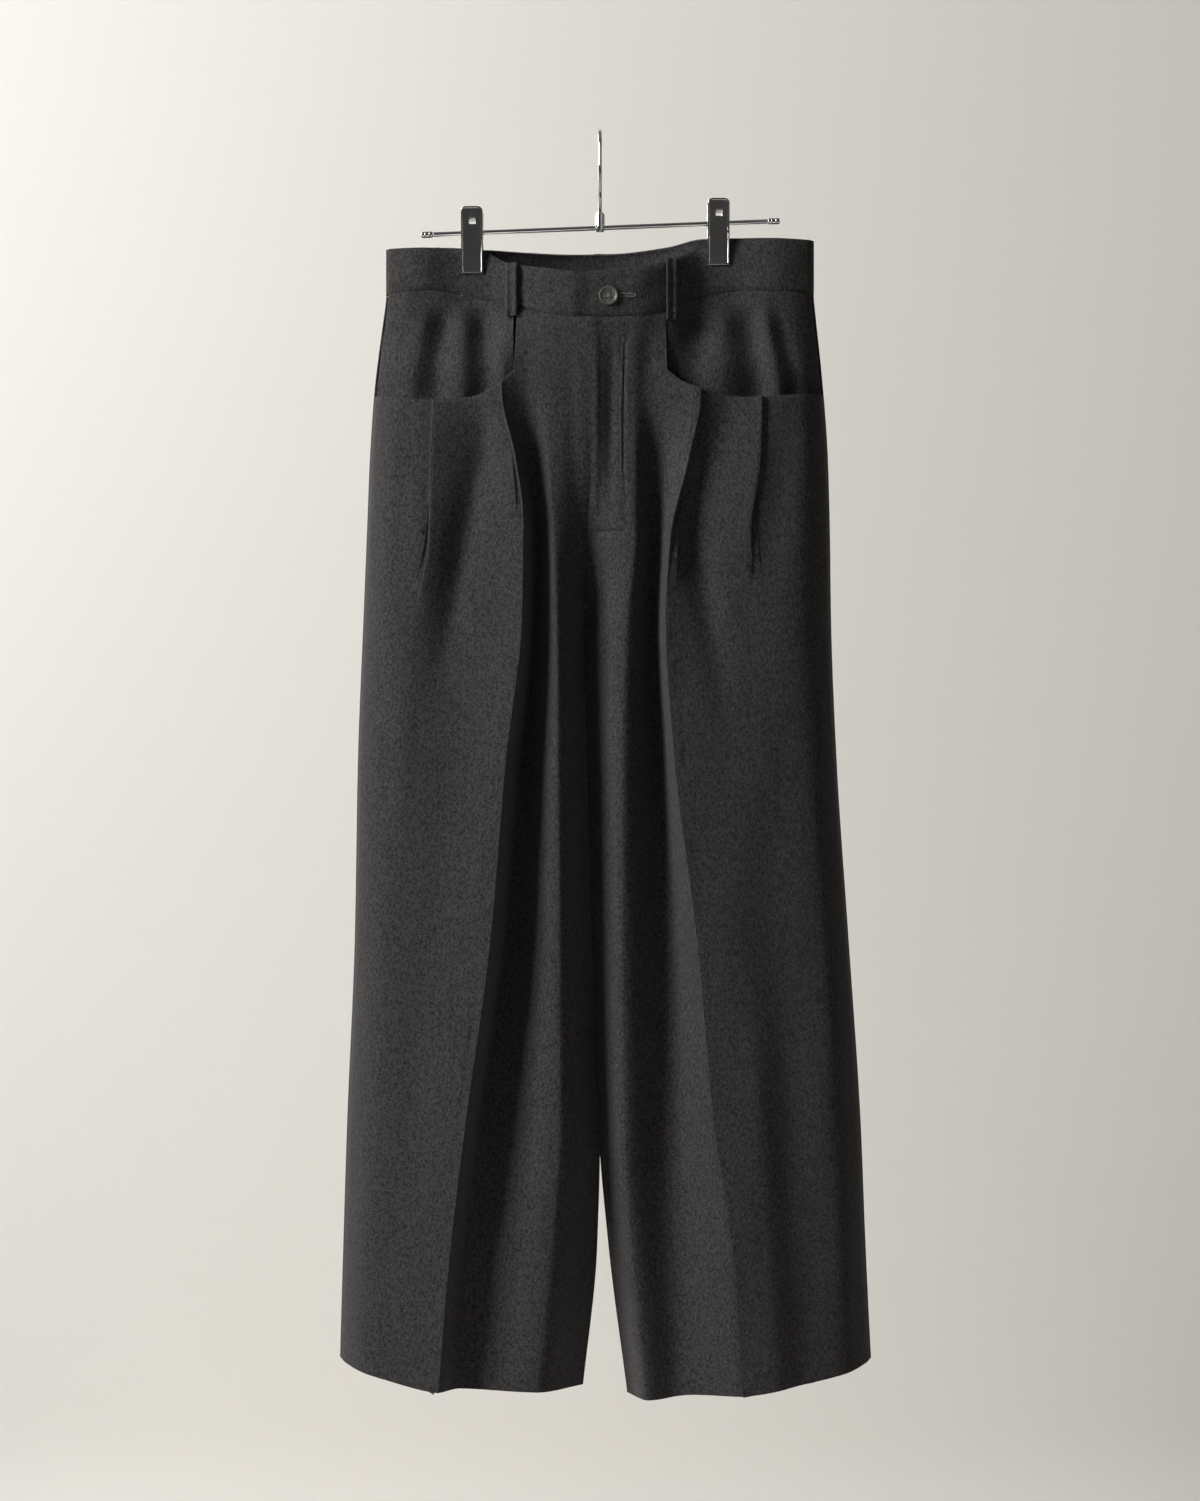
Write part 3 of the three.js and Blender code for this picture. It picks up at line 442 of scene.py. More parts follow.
def place_on_front(side, column, z):
    """The x and y of a column of points at its heights."""
    leg = LEG[side]
    if "turn" in column:
        edge, undercut, step = leg.pleat(column["name"], z)
        share = step / PLEAT_STEP
        kind, out, swing = PLEAT_TURNS[column["turn"]]
        middle = leg.base(edge, z) + leg.relief(edge, z)
        if kind == "deep":
            folded = middle + step / 2 - (1 - swing) * DEEP_TURN * share
            x = edge + leg.inwards * (undercut + out * share)
        else:
            folded = middle - step / 2 + (1 + swing) * EDGE_TURN * share
            x = edge + leg.inwards * out * share
        x = x + leg.inwards * (column["turn"] - len(PLEAT_TURNS)) * TURN_SPREAD * (1 - share)
        return x, mix(leg.depth(x, z) + leg.relief(x, z), folded, ramp(0, 0.5, share))
    start = leg.x[column["name"]](z)
    end = leg.x[column["next"]](z) if "next" in column else start
    x = mix(start, end, column["share"])
    return x, leg.depth(x, z) + leg.relief(x, z)


def leg_rows(top, hem):
    """Heights of a leg's rows from its top edge down to the hem, closer at both ends."""
    body = np.linspace(0, 1, int((top - hem - TURN_UP_HEIGHT) / ROW_STEP))
    body = np.concatenate([[top, top - 0.5, top - 1.1, top - 2], mix(top - 3.2, hem + TURN_UP_HEIGHT, body)])
    turn_up = [hem + TURN_UP_HEIGHT - 0.4, hem + 18, hem + 12, hem + 6, hem + 2, hem + 0.6, hem]
    return np.concatenate([body, turn_up])


def even_rows(z, count):
    """The heights of leg_rows brought to a count, with those of the turned-up hem as they are."""
    body = z[:-TURN_UP_ROWS]
    body = np.interp(np.linspace(0, 1, count - TURN_UP_ROWS), np.linspace(0, 1, len(body)), body)
    return np.concatenate([body, z[-TURN_UP_ROWS:]])


def wall_object(name, grid, outward, thickness, keep=None, inward=None):
    """A cloth wall through a grid of outer points, as one closed mesh."""
    rows, columns = grid.shape[:2]
    keep = np.ones((rows - 1, columns - 1), bool) if keep is None else keep
    across = grid[1:, 1:] - grid[:-1, :-1]
    down = grid[1:, :-1] - grid[:-1, 1:]
    normal = np.cross(across, down) * keep[:, :, None]
    flip = (normal.sum(axis=(0, 1)) @ np.array(outward)) < 0
    length = np.linalg.norm(normal, axis=2, keepdims=True)
    normal = normal / np.where(length > 1e-12, length, 1)
    at_points = np.zeros_like(grid)
    for i in (0, 1):
        for j in (0, 1):
            at_points[i:rows - 1 + i, j:columns - 1 + j] += normal
    length = np.linalg.norm(at_points, axis=2, keepdims=True)
    into = at_points / np.where(length > 1e-12, length, 1) * (1 if flip else -1)
    for row, column, direction in inward or []:
        into[row, column] = direction
    under = grid + into * np.broadcast_to(thickness, (rows, columns))[:, :, None]
    padded = np.zeros((rows + 1, columns + 1), bool)
    padded[1:-1, 1:-1] = keep
    used = padded[:-1, :-1] | padded[1:, :-1] | padded[:-1, 1:] | padded[1:, 1:]
    number = np.full((rows, columns), -1)
    number[used] = np.arange(used.sum())
    verts = np.concatenate([grid[used], under[used]]) * MM
    back = used.sum()
    faces = []

    def quad(a, b, c, d):
        faces.append((a, d, c, b) if flip else (a, b, c, d))

    for r, c in zip(*np.nonzero(keep)):
        a, b, d, e = number[r, c], number[r + 1, c], number[r + 1, c + 1], number[r, c + 1]
        quad(a, b, d, e)
        quad(a + back, e + back, d + back, b + back)
        if not padded[r, c + 1]:
            quad(a, e, e + back, a + back)
        if not padded[r + 2, c + 1]:
            quad(b, b + back, d + back, d)
        if not padded[r + 1, c]:
            quad(a, a + back, b + back, b)
        if not padded[r + 1, c + 2]:
            quad(e, d, d + back, e + back)
    mesh = bpy.data.meshes.new(name)
    mesh.from_pydata(verts.tolist(), [], [tuple(int(v) for v in face) for face in faces])
    made = bmesh.new()
    made.from_mesh(mesh)
    if made.calc_volume(signed=True) < 0:
        bmesh.ops.reverse_faces(made, faces=made.faces)
    made.to_mesh(mesh)
    made.free()
    mesh.polygons.foreach_set("use_smooth", [True] * len(mesh.polygons))
    mesh.validate()
    return add_object(name, mesh)


def soften(piece, angle=50):
    bpy.ops.object.select_all(action="DESELECT")
    bpy.context.view_layer.objects.active = piece
    piece.select_set(True)
    bpy.ops.object.shade_smooth_by_angle(angle=math.radians(angle))
    piece.select_set(False)


def shader_group(name, takes, gives):
    """A group of nodes with its sockets, each a name and a kind."""
    tree = bpy.data.node_groups.new(name, "ShaderNodeTree")
    for way, sockets in (("INPUT", takes), ("OUTPUT", gives)):
        for label, kind in sockets:
            tree.interface.new_socket(name=label, in_out=way, socket_type=f"NodeSocket{kind}")
    return tree


def grouped_material(name, group, values):
    """A material with a group of nodes in it, whose sockets are set to the values."""
    material = bpy.data.materials.new(name)
    material.use_nodes = True
    node = material.node_tree.nodes.new("ShaderNodeGroup")
    node.node_tree = group
    for label, value in values.items():
        node.inputs[label].default_value = value
    return material, node


def felt_group():
    """Brushed fibres with slow cloudiness: colour, roughness and height from object coordinates."""
    tree = shader_group("brushed fibres", [("Dark", "Color"), ("Light", "Color"), ("Fibre scale", "Float")],
                        [("Colour", "Color"), ("Roughness", "Float"), ("Height", "Float")])
    nodes, links = tree.nodes, tree.links
    given = nodes.new("NodeGroupInput")
    result = nodes.new("NodeGroupOutput")
    place = nodes.new("ShaderNodeTexCoord")

    def noise(stretch, scale, detail, tilt=0.0):
        turn = nodes.new("ShaderNodeMapping")
        turn.inputs["Scale"].default_value = stretch
        turn.inputs["Rotation"].default_value = (0, tilt, 0)
        links.new(place.outputs["Object"], turn.inputs["Vector"])
        texture = nodes.new("ShaderNodeTexNoise")
        texture.inputs["Scale"].default_value = scale
        texture.inputs["Detail"].default_value = detail
        texture.inputs["Roughness"].default_value = 0.62
        links.new(turn.outputs["Vector"], texture.inputs["Vector"])
        return texture

    def blend(kind, first, second, factor=None):
        node = nodes.new("ShaderNodeMath")
        node.operation = kind
        for socket, value in zip(node.inputs, (first, second, factor)):
            if value is None:
                continue
            if isinstance(value, float):
                socket.default_value = value
            else:
                links.new(value, socket)
        return node.outputs[0]

    fibres = noise((1.0, 1.0, 0.75), 640.0, 2.0, 0.5)
    links.new(given.outputs["Fibre scale"], fibres.inputs["Scale"])
    mottle = noise((1.0, 1.0, 0.7), 420.0, 1.0, -0.35)
    cloud = noise((1.0, 1.0, 1.0), 16.0, 2.0)
    mottled = blend("MULTIPLY", mottle.outputs["Fac"], 0.38)
    summed = blend("MULTIPLY_ADD", fibres.outputs["Fac"], 0.62, mottled)
    spread = nodes.new("ShaderNodeMapRange")
    spread.inputs["From Min"].default_value = 0.39
    spread.inputs["From Max"].default_value = 0.635
    links.new(summed, spread.inputs["Value"])
    fibrous = blend("MULTIPLY", spread.outputs["Result"], 0.88)
    patchy = blend("MULTIPLY_ADD", cloud.outputs["Fac"], 0.12, fibrous)
    colour = nodes.new("ShaderNodeMix")
    colour.data_type = "RGBA"
    links.new(patchy, colour.inputs["Factor"])
    links.new(given.outputs["Dark"], colour.inputs[6])
    links.new(given.outputs["Light"], colour.inputs[7])
    links.new(colour.outputs[2], result.inputs["Colour"])
    rough = blend("MULTIPLY_ADD", fibres.outputs["Fac"], 0.15, 0.82)
    links.new(rough, result.inputs["Roughness"])
    links.new(summed, result.inputs["Height"])
    return tree


FELT = felt_group()
WOOL_DARK = (0.0105, 0.0105, 0.0115, 1)
WOOL_LIGHT = (0.0585, 0.0555, 0.0565, 1)


def wool_material(name, dark, light, fibre_scale, bump):
    material, felt = grouped_material(name, FELT, {"Dark": dark, "Light": light, "Fibre scale": fibre_scale})
    nodes, links = material.node_tree.nodes, material.node_tree.links
    shader = nodes["Principled BSDF"]
    relief = nodes.new("ShaderNodeBump")
    relief.inputs["Strength"].default_value = 0.9
    relief.inputs["Distance"].default_value = bump
    links.new(felt.outputs["Height"], relief.inputs["Height"])
    links.new(felt.outputs["Colour"], shader.inputs["Base Color"])
    links.new(felt.outputs["Roughness"], shader.inputs["Roughness"])
    links.new(relief.outputs["Normal"], shader.inputs["Normal"])
    shader.inputs["Specular IOR Level"].default_value = 0.18
    shader.inputs["Sheen Weight"].default_value = 0.08
    shader.inputs["Sheen Roughness"].default_value = 0.45
    return material


WOOL = wool_material("charcoal brushed wool", WOOL_DARK, WOOL_LIGHT, 900.0, 0.0009)


def finish_cloth(piece, node):
    piece.data.materials.append(WOOL)
    soften(piece)
    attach(piece, "root")
    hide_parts(node)


def crotch_direction(leg, z, towards):
    below = ramp(CROTCH_Z + 32, CROTCH_Z + 8, z)
    direction = np.stack([-leg.inwards * below, towards * (1 - below), np.zeros_like(z)], axis=-1)
    return direction / np.linalg.norm(direction, axis=-1, keepdims=True)


def panel_walls(grid):
    """Thickness over a leg panel: one layer of cloth, and two where the hem turns up."""
    thickness = np.full(grid.shape[:2], float(CLOTH))
    thickness[-TURN_UP_ROWS:] = TURN_UP_WALL
    thickness[-1] = TURN_UP_WALL * 0.55
    return thickness


def panel_edges(leg, grid, towards):
    """The way that each edge of a leg panel is thickened, so that it doesn't cross the next piece."""
    last = grid.shape[1] - 1
    return [(slice(None), 0, (leg.inwards, 0, 0)),
            (slice(None), last, crotch_direction(leg, grid[:, last, 2], towards)),
            (0, slice(None), (0, towards, 0))]


def make_front(side):
    leg = LEG[side]
    columns = front_columns(side)
    mouth = smooth(MOUTH[side])
    hem = smooth(HEM[side])
    near_corner = [(abs(place_on_front(side, column, np.array([POCKET_CORNER_Z]))[0][0] - CORNER_X[side]), i)
                   for i, column in enumerate(columns) if column["name"] == "crease" and "next" in column]
    corner = min(near_corner)[1]
    lower = []
    for c, column in enumerate(columns):
        at, _ = place_on_front(side, column, np.array([-237.0]))
        foot, _ = place_on_front(side, column, np.array([-1127.0]))
        top = float(mouth(at)[0]) if c < corner else POCKET_CORNER_Z
        z = leg_rows(top, float(hem(foot)[0]))
        lower.append(z)
    count = min(len(z) for z in lower)
    points = []
    for c, column in enumerate(columns):
        z = even_rows(lower[c], count)
        x, y = place_on_front(side, column, z)
        ease = ramp(z[0] - 26, z[0], z) if c == corner else 0
        x = x + (CORNER_X[side] - x[0]) * ease
        points.append(np.stack([x, y, z], axis=-1))
    lower_grid = np.stack(points, axis=1)
    below_edge = lower_grid[0, :corner, 2] - lower_grid[:, :corner, 2]
    lower_grid[:, :corner, 1] += MOUTH_ROLL * np.exp(-(below_edge / MOUTH_ROLL_REACH) ** 2)
    upper = []
    shares = np.arange(UPPER_ROWS) / UPPER_ROWS
    for c, column in enumerate(columns):
        low = lower_grid[0, max(c, corner), 0]
        name = column.get("next", column["name"])
        pull = 0 if name == "centre" and "next" not in column else 0.15
        top = mix(low, leg.x[name](HEIGHTS[0]), pull if c >= corner else 0)
        x = mix(top, low, shares)
        z = mix(seam_z(x) - SEAM_GAP, POCKET_CORNER_Z, shares)
        y = leg.depth(x, z) + leg.relief(x, z)
        upper.append(np.stack([x, y, z], axis=-1))
    grid = np.concatenate([np.stack(upper, axis=1), lower_grid])
    if side == "left":
        proud = ramp(-352, -340, grid[:, :, 2]) * ramp(10, 2, grid[:, :, 0] - FLY_X)
        grid[:, :, 1] -= FLY_PROUD * proud
    grid[:, :, 1] += SEAM_TUCK * ramp(-4.5, 0, grid[:, :, 2] - seam_z(grid[:, :, 0])) ** 2
    keep = np.ones((grid.shape[0] - 1, grid.shape[1] - 1), bool)
    keep[:UPPER_ROWS, :corner] = False
    inward = panel_edges(leg, grid, 1)
    piece = wall_object(f"wool_front_{side}", grid, (0, -1, 0), panel_walls(grid), keep, inward)
    finish_cloth(piece, f"front_{side}")
    return grid


FRONT_GRID = {side: make_front(side) for side in ("right", "left")}

# Back leg panels: joined in a centre back seam down to the crotch, plain, with a pressed crease
# down each leg and the soft folds that the clips draw in the cloth.
BACK_FOLDS = [
    (0.03, [14, 20, 24, 27, 29, 31, 33, 37, 41, 45]),
    (0.2, [13, 27, 31, 34, 36, 38, 40, 44, 48, 50]),
    (0.45, [8, 32, 38, 42, 45, 49, 53, 57, 59, 57]),
    (0.62, [16, 30, 35, 38, 38, 38, 40, 43, 45, 46]),
    (0.85, [24, 33, 37, 37, 33, 34, 35, 36, 38, 39]),
]
BACK_CENTRE_Y = {"right": [27, 31, 32, 26, 13.8, 16.1, 16.1, 16.1, 16.6, 16.6],
                 "left": [27, 31, 32, 26, 7.8, 8.6, 8.6, 8.6, 12.6, 16.6]}
BACK_TOP = [(-193, -105), (-153, -103), (-104, -106), (-38, -107), (14, -106), (60, -102), (94, -96),
            (144, -97), (193, -97)]
BACK_BAND_HEIGHT = 42
BAND_BACK = [(-193, 8.6), (-189, 14), (-160, 14), (CLIP_X["right"] - CLIP_FLAT, BAND_FACE),
             (CLIP_X["right"] + CLIP_FLAT, BAND_FACE), (-70, 14), (-20, 27), (10, 28), (60, 16),
             (CLIP_X["left"] - CLIP_FLAT, BAND_FACE), (CLIP_X["left"] + CLIP_FLAT, BAND_FACE),
             (156, 13), (189, 14), (193, 8.6)]
BACK_CREASES = {
    "right": [
        ([(-117, -165), (-121, -240), (-130, -330)], 9, 6.0),
        ([(-92, -175), (-84, -250), (-80, -330), (-84, -420)], 11, 4.2),
        ([(-148, -180), (-156, -290), (-160, -400)], 12, 3.4),
        ([(-38, -190), (-46, -300), (-52, -420), (-60, -520)], 12, 3.2),
        ([(-24, -380), (-40, -440), (-52, -520)], 8, 2.6),
        ([(-96, -430), (-104, -620), (-112, -840)], 15, 2.6),
        ([(-172, -480), (-178, -640), (-180, -820)], 14, 2.0),
        ([(-60, -640), (-62, -820), (-72, -1000)], 14, 2.2),
    ],
    "left": [
        ([(108, -165), (112, -230), (122, -345)], 9, 5.6),
        ([(84, -175), (76, -260), (70, -350), (76, -440)], 11, 4.0),
        ([(140, -180), (150, -300), (152, -430)], 12, 3.0),
        ([(32, -190), (42, -310), (46, -450)], 12, 3.4),
        ([(20, -385), (38, -450), (50, -540)], 8, 2.4),
        ([(94, -470), (100, -650), (108, -880)], 15, 2.4),
        ([(170, -460), (182, -640), (192, -840)], 14, 2.2),
        ([(54, -620), (60, -800), (72, -980)], 14, 2.0),
    ],
}
BACK_COLUMNS = 52
BACK_ROWS = 205
PRESSED_DEPTH = 1.6
PRESSED_SHARE = 0.45
back_top_z = smooth(BACK_TOP)
band_back_y = smooth(BAND_BACK)
back_folds = [(share, by_height(depth)) for share, depth in BACK_FOLDS]
back_centre_y = {side: by_height(depth) for side, depth in BACK_CENTRE_Y.items()}


def back_column(side, share):
    leg = LEG[side]
    hem = smooth(HEM[side])
    start = leg.inwards * -0.2
    waist_x = mix(leg.x["side"](HEIGHTS[0]), start, share)
    top = back_top_z(waist_x) - BACK_BAND_HEIGHT - SEAM_GAP
    bottom = hem(mix(leg.x["side"](-1120), leg.x["centre"](-1120), share))
    z = even_rows(leg_rows(top, bottom), BACK_ROWS)
    centre_x = mix(start, leg.x["centre"](z), ramp(-240, CROTCH_Z, z))
    x = mix(leg.x["side"](z), centre_x, share)
    shares = [0, *[at for at, _ in back_folds], 1]
    knots_x = np.array([np.full_like(z, at) for at in shares])
    folds = [depth(z) for _, depth in back_folds]
    knots_y = np.array([leg.y["side"](z) + 0.4, *folds, back_centre_y[side](z)])
    free = cubic(knots_x, knots_y, np.full_like(z, share))
    y = mix(free, band_back_y(x) - 0.6, ramp(-215, top, z) * (share > 0))
    edge = ramp(0, 0.08, share) * ramp(1, 0.94, share) * ramp(-150, -190, z)
    pressed = PRESSED_DEPTH * np.exp(-abs(share - PRESSED_SHARE) * 70) * ramp(-300, -420, z)
    y = y + (pressed - crease_relief(BACK_CREASES[side], x, z) - lean(x + 31, z)) * edge
    return np.stack([x, y, z], axis=-1)


def make_back(side):
    near_side = [0, 0.006, 0.013, 0.021, 0.03]
    shares = np.array(near_side + list(np.linspace(0.03, 1, BACK_COLUMNS)[1:]))
    shares[np.argmin(abs(shares - PRESSED_SHARE))] = PRESSED_SHARE
    grid = np.stack([back_column(side, share) for share in shares], axis=1)
    inward = panel_edges(LEG[side], grid, -1)
    piece = wall_object(f"wool_back_{side}", grid, (0, 1, 0), panel_walls(grid), None, inward)
    finish_cloth(piece, f"back_{side}")
    return grid


BACK_GRID = {side: make_back(side) for side in ("right", "left")}

# Hip pockets: the yoke that shows above each scooped mouth is wool, sewn to the band and the side
# seam, and hangs on inside behind the panel as the back of the pocket.
POCKET_FOLDS = {
    "right": [(-186, 0), (-172, -1.5), (-148, 7), (-124, -3.5), (-101, 6), (-86, 0)],
    "left": [(66, 0), (85, 5), (111, -3.5), (142, 7), (160, -3), (175, 2.5), (186, 0)],
}
FOLD_FAN = 1.3
POCKET_BAG_Z = -375
POCKET_COLUMNS = 46
POCKET_ROWS = 56


def make_pocket(side):
    leg = LEG[side]
    ripple = smooth(POCKET_FOLDS[side])
    columns = []
    for across in np.linspace(0, 1, POCKET_COLUMNS):
        def outer_x(z):
            return leg.x["side"](z) + leg.inwards * 2.2

        def inner_x(z):
            above = CORNER_X[side] - leg.inwards * 2 * SEAM_GAP
            below = leg.x["crease"](np.minimum(z, -237)) - leg.inwards * 12
            return mix(above, below, ramp(POCKET_CORNER_Z + 4, POCKET_CORNER_Z - 30, z))

        start = np.array([-150.0])
        waist_x = mix(outer_x(start), inner_x(start), across)[0]
        z = mix(seam_z(waist_x) - SEAM_GAP, POCKET_BAG_Z, np.linspace(0, 1, POCKET_ROWS))
        x = mix(outer_x(z), inner_x(z), across)
        from_side = np.abs(x - outer_x(z))
        from_corner = np.abs(x - inner_x(z))
        flush = (1 - ramp(0, 18, from_corner)) * ramp(POCKET_CORNER_Z + 4, -180, z)
        recess = 7 * ramp(-150, -190, z) + 6 * ramp(-206, -242, z)
        behind = recess * (1 - flush) + 0.2
        fanned = CLIP_X[side] + (x - CLIP_X[side]) * mix(FOLD_FAN, 1, ramp(-150, -237, z))
        folded = ripple(fanned) * ramp(-150, -180, z) * (1 - ramp(-236, -262, z))
        front = leg.base(x, z) + behind + folded + 0.5 * lean(x + 9, z) * ramp(0, 12, from_side)
        at_side = leg.y["side"](z) - 1 - 9 * ramp(0, 10, from_side)
        y = mix(np.minimum(at_side, front), front, ramp(8, 30, from_side))
        columns.append(np.stack([x, y, z], axis=-1))
    grid = np.stack(columns, axis=1)
    last = grid.shape[1] - 1
    inward = [(slice(None), 0, (leg.inwards, 0, 0)),
              (slice(None), last, (0, 1, 0)),
              (0, slice(None), (0, 1, 0))]
    piece = wall_object(f"wool_pocket_{side}", grid, (0, -1, 0), CLOTH, None, inward)
    finish_cloth(piece, f"pocket_{side}")


for pocket_side in ("right", "left"):
    make_pocket(pocket_side)

# Fly shield: a strip of the same wool behind the fly opening, sewn in with the zip that it hides.
SHIELD_BOTTOM = -352


def make_fly_shield():
    z = np.linspace(0, 1, 30)
    columns = []
    for x in np.linspace(-15, 30, 16):
        height = mix(seam_z(float(x)) - SEAM_GAP - 1, SHIELD_BOTTOM, z)
        right = LEG["right"].depth(np.full_like(z, min(x, -9)), height)
        left = LEG["left"].depth(np.full_like(z, max(x, -7)), height)
        behind = CLOTH + 0.9 + np.maximum(crease_relief(FRONT_CREASES["left"], x, height), 0)
        columns.append(np.stack([np.full_like(z, x), np.maximum(right, left) + behind, height], axis=-1))
    piece = wall_object("wool_fly_shield", np.stack(columns, axis=1), (0, -1, 0), CLOTH)
    finish_cloth(piece, "fly_shield")


make_fly_shield()

# Waistband: a doubled band of wool in three parts, open at the centre front, where the wearer's
# left end laps over the right. The clips pinch it flat and it bows out between them.
BAND_WALL = 3.2
FRONT_TOP = [(-193, -105), (-126, -105), (-104, -108), (-83, -119), (-50, -125), (-18, -129), (30, -126),
             (59, -119), (83, -109), (95, -104), (118, -96), (193, -97)]
BAND_ROWS = 16
BAND_STEP = 2.4
front_top_z = smooth(FRONT_TOP)


def back_band_bottom(x):
    return back_top_z(x) - BACK_BAND_HEIGHT


def underlap_y(x):
    return band_front_y(x) + (BAND_WALL + 0.4) * ramp(FLY_X - 18, FLY_X - 1, x)


def band_stations(start, end):
    return np.linspace(start, end, int(abs(end - start) / BAND_STEP) + 1)


def make_band(name, stations, depth, top, bottom, outward, ends):
    x = np.asarray(stations, float)
    shares = np.concatenate([[0.0], np.linspace(0.012, 0.988, BAND_ROWS), [1.0]])
    facing = outward[1]
    rows = []
    for share in shares:
        z = mix(top(x), bottom(x), share)
        rolled = 1.5 * ramp(0.435, 0.5, abs(share - 0.5)) ** 2
        puff = 0.5 * math.sin(math.pi * share) + 0.3 * np.sin(x / 7.5 + 9 * share) * math.sin(math.pi * share)
        to_clip = np.minimum(abs(x - CLIP_X["right"]), abs(x - CLIP_X["left"]))
        inside_clip = ramp(16, 11, to_clip)
        y = depth(x) - facing * rolled + facing * puff * (1 - inside_clip)
        rows.append(np.stack([x, y, z], axis=-1))
    grid = np.array(rows)
    last = grid.shape[1] - 1
    inward = [(slice(None), 0, ends[0]), (slice(None), last, ends[1])]
    piece = wall_object(f"wool_{name}", grid, outward, BAND_WALL, None, inward)
    finish_cloth(piece, name)


make_band("waistband_right", np.concatenate([[-193, -192], band_stations(-189, 34)]), underlap_y,
          front_top_z, seam_z, (0, -1, 0), ((1, 0, 0), (0, 1, 0)))
make_band("waistband_left", np.concatenate([band_stations(FLY_X, 189), [192, 193]]), band_front_y,
          front_top_z, seam_z, (0, -1, 0), ((0, 1, 0), (-1, 0, 0)))
make_band("waistband_back", np.concatenate([[-193, -192], band_stations(-189, 189), [192, 193]]),
          band_back_y, back_top_z, back_band_bottom, (0, 1, 0), ((1, 0, 0), (-1, 0, 0)))

# Belt loops: narrow folded strips of wool, sewn on at the band's top and bottom edges and standing
# a little off it between, two in front, two near the side seams behind and one at the centre back.
LOOPS = [("loop_front_right", -79.5, False), ("loop_front_left", 64.5, False),
         ("loop_side_right", -150, True), ("loop_side_left", 148, True), ("loop_back", 0, True)]
LOOP_WIDTH = 10.5
LOOP_LIFT = 3.0
LOOP_FOOT = 9


def loop_face(x, behind, at, share):
    """Height and depth of a loop at a share of its length; a front one ends on the panel below the seam."""
    top = back_top_z(x) if behind else front_top_z(x)
    bottom = back_band_bottom(x) if behind else seam_z(x) - LOOP_FOOT
    z = mix(top + 0.6, bottom - 0.6, share)
    lift = LOOP_LIFT * ramp(0, 0.16, share) * ramp(1, 0.84, share) + 0.5 * (ramp(0, 0.05, share) - 1)
    stands = CLOTH + SEAM_GAP + 0.6 + lift
    if behind:
        return z, band_back_y(at) + stands
    leg = LEG["right" if x < 0 else "left"]
    panel = np.minimum(leg.base(at, z), leg.depth(at, z))
    under = np.where(z < seam_z(x), np.minimum(band_front_y(at), panel), band_front_y(at))
    return z, under - stands


def make_loop(name, x, behind):
    facing = 1 if behind else -1
    share = np.concatenate([[0, 0.012], np.linspace(0.03, 0.97, 26), [0.988, 1]])
    across = np.array([-0.5, -0.47, -0.38, -0.3, -0.22, -0.12, 0, 0.12, 0.22, 0.3, 0.38, 0.47, 0.5])
    ribs = np.array([-1.2, 0.2, 0.9, 0.9, 0.4, -0.2, -0.4, -0.2, 0.4, 0.9, 0.9, 0.2, -1.2])
    at, share = np.meshgrid(x + across * LOOP_WIDTH, share)
    z, y = loop_face(x, behind, at, share)
    grid = np.stack([at, y + facing * ribs[None, :], z], axis=-1)
    inward = [(slice(None), slice(None), (0, -facing, 0))]
    piece = wall_object(f"wool_{name}", grid, (0, facing, 0), CLOTH, None, inward)
    finish_cloth(piece, name)


for loop_name, loop_x, loop_behind in LOOPS:
    make_loop(loop_name, loop_x, loop_behind)

# Button: dull grey-green horn, turned with a raised rim and a dished middle, four holes, sewn on
# through the underlap with a cross of thread.
BUTTON_X = 7.6
BUTTON_Z = -151
BUTTON_RADIUS = 8.6
BUTTON_THICK = 2.6
BUTTON_RIM = 1.5
BUTTON_HOLE = 1.15
HOLE_SPREAD = 1.95
CROSS_RADIUS = 0.4
CROSS_LENGTH = 5.8


def pick(piece, test):
    """Select the faces of a piece in edit mode by a test of centre and normal."""
    bpy.ops.mesh.select_mode(type="FACE")
    bpy.ops.mesh.select_all(action="DESELECT")
    made = bmesh.from_edit_mesh(piece.data)
    for face in made.faces:
        face.select_set(bool(test(face.calc_center_median(), face.normal)))
    bmesh.update_edit_mesh(piece.data)


def named(name):
    piece = bpy.context.object
    piece.name = name
    piece.data.name = name
    return piece


def apply_place():
    bpy.ops.object.transform_apply(location=True, rotation=True, scale=True)


def add_cylinder(radius, length, place, turn=(0, 0, 0), sides=48):
    """A cylinder at a place in metres, with its radius and length in millimetres."""
    bpy.ops.mesh.primitive_cylinder_add(vertices=sides, radius=radius * MM, depth=length * MM,
                                        location=place, rotation=turn)
    return bpy.context.object


def apply_modifier(piece, kind, **settings):
    modifier = piece.modifiers.new(kind.lower(), kind)
    for key, value in settings.items():
        setattr(modifier, key, value)
    bpy.context.view_layer.objects.active = piece
    bpy.ops.object.modifier_apply(modifier=modifier.name)


def cut_out(piece, tool):
    """Take a tool's shape out of a piece, and the tool out of the scene."""
    apply_modifier(piece, "BOOLEAN", operation="DIFFERENCE", object=tool, solver="EXACT")
    bpy.data.objects.remove(tool, do_unlink=True)


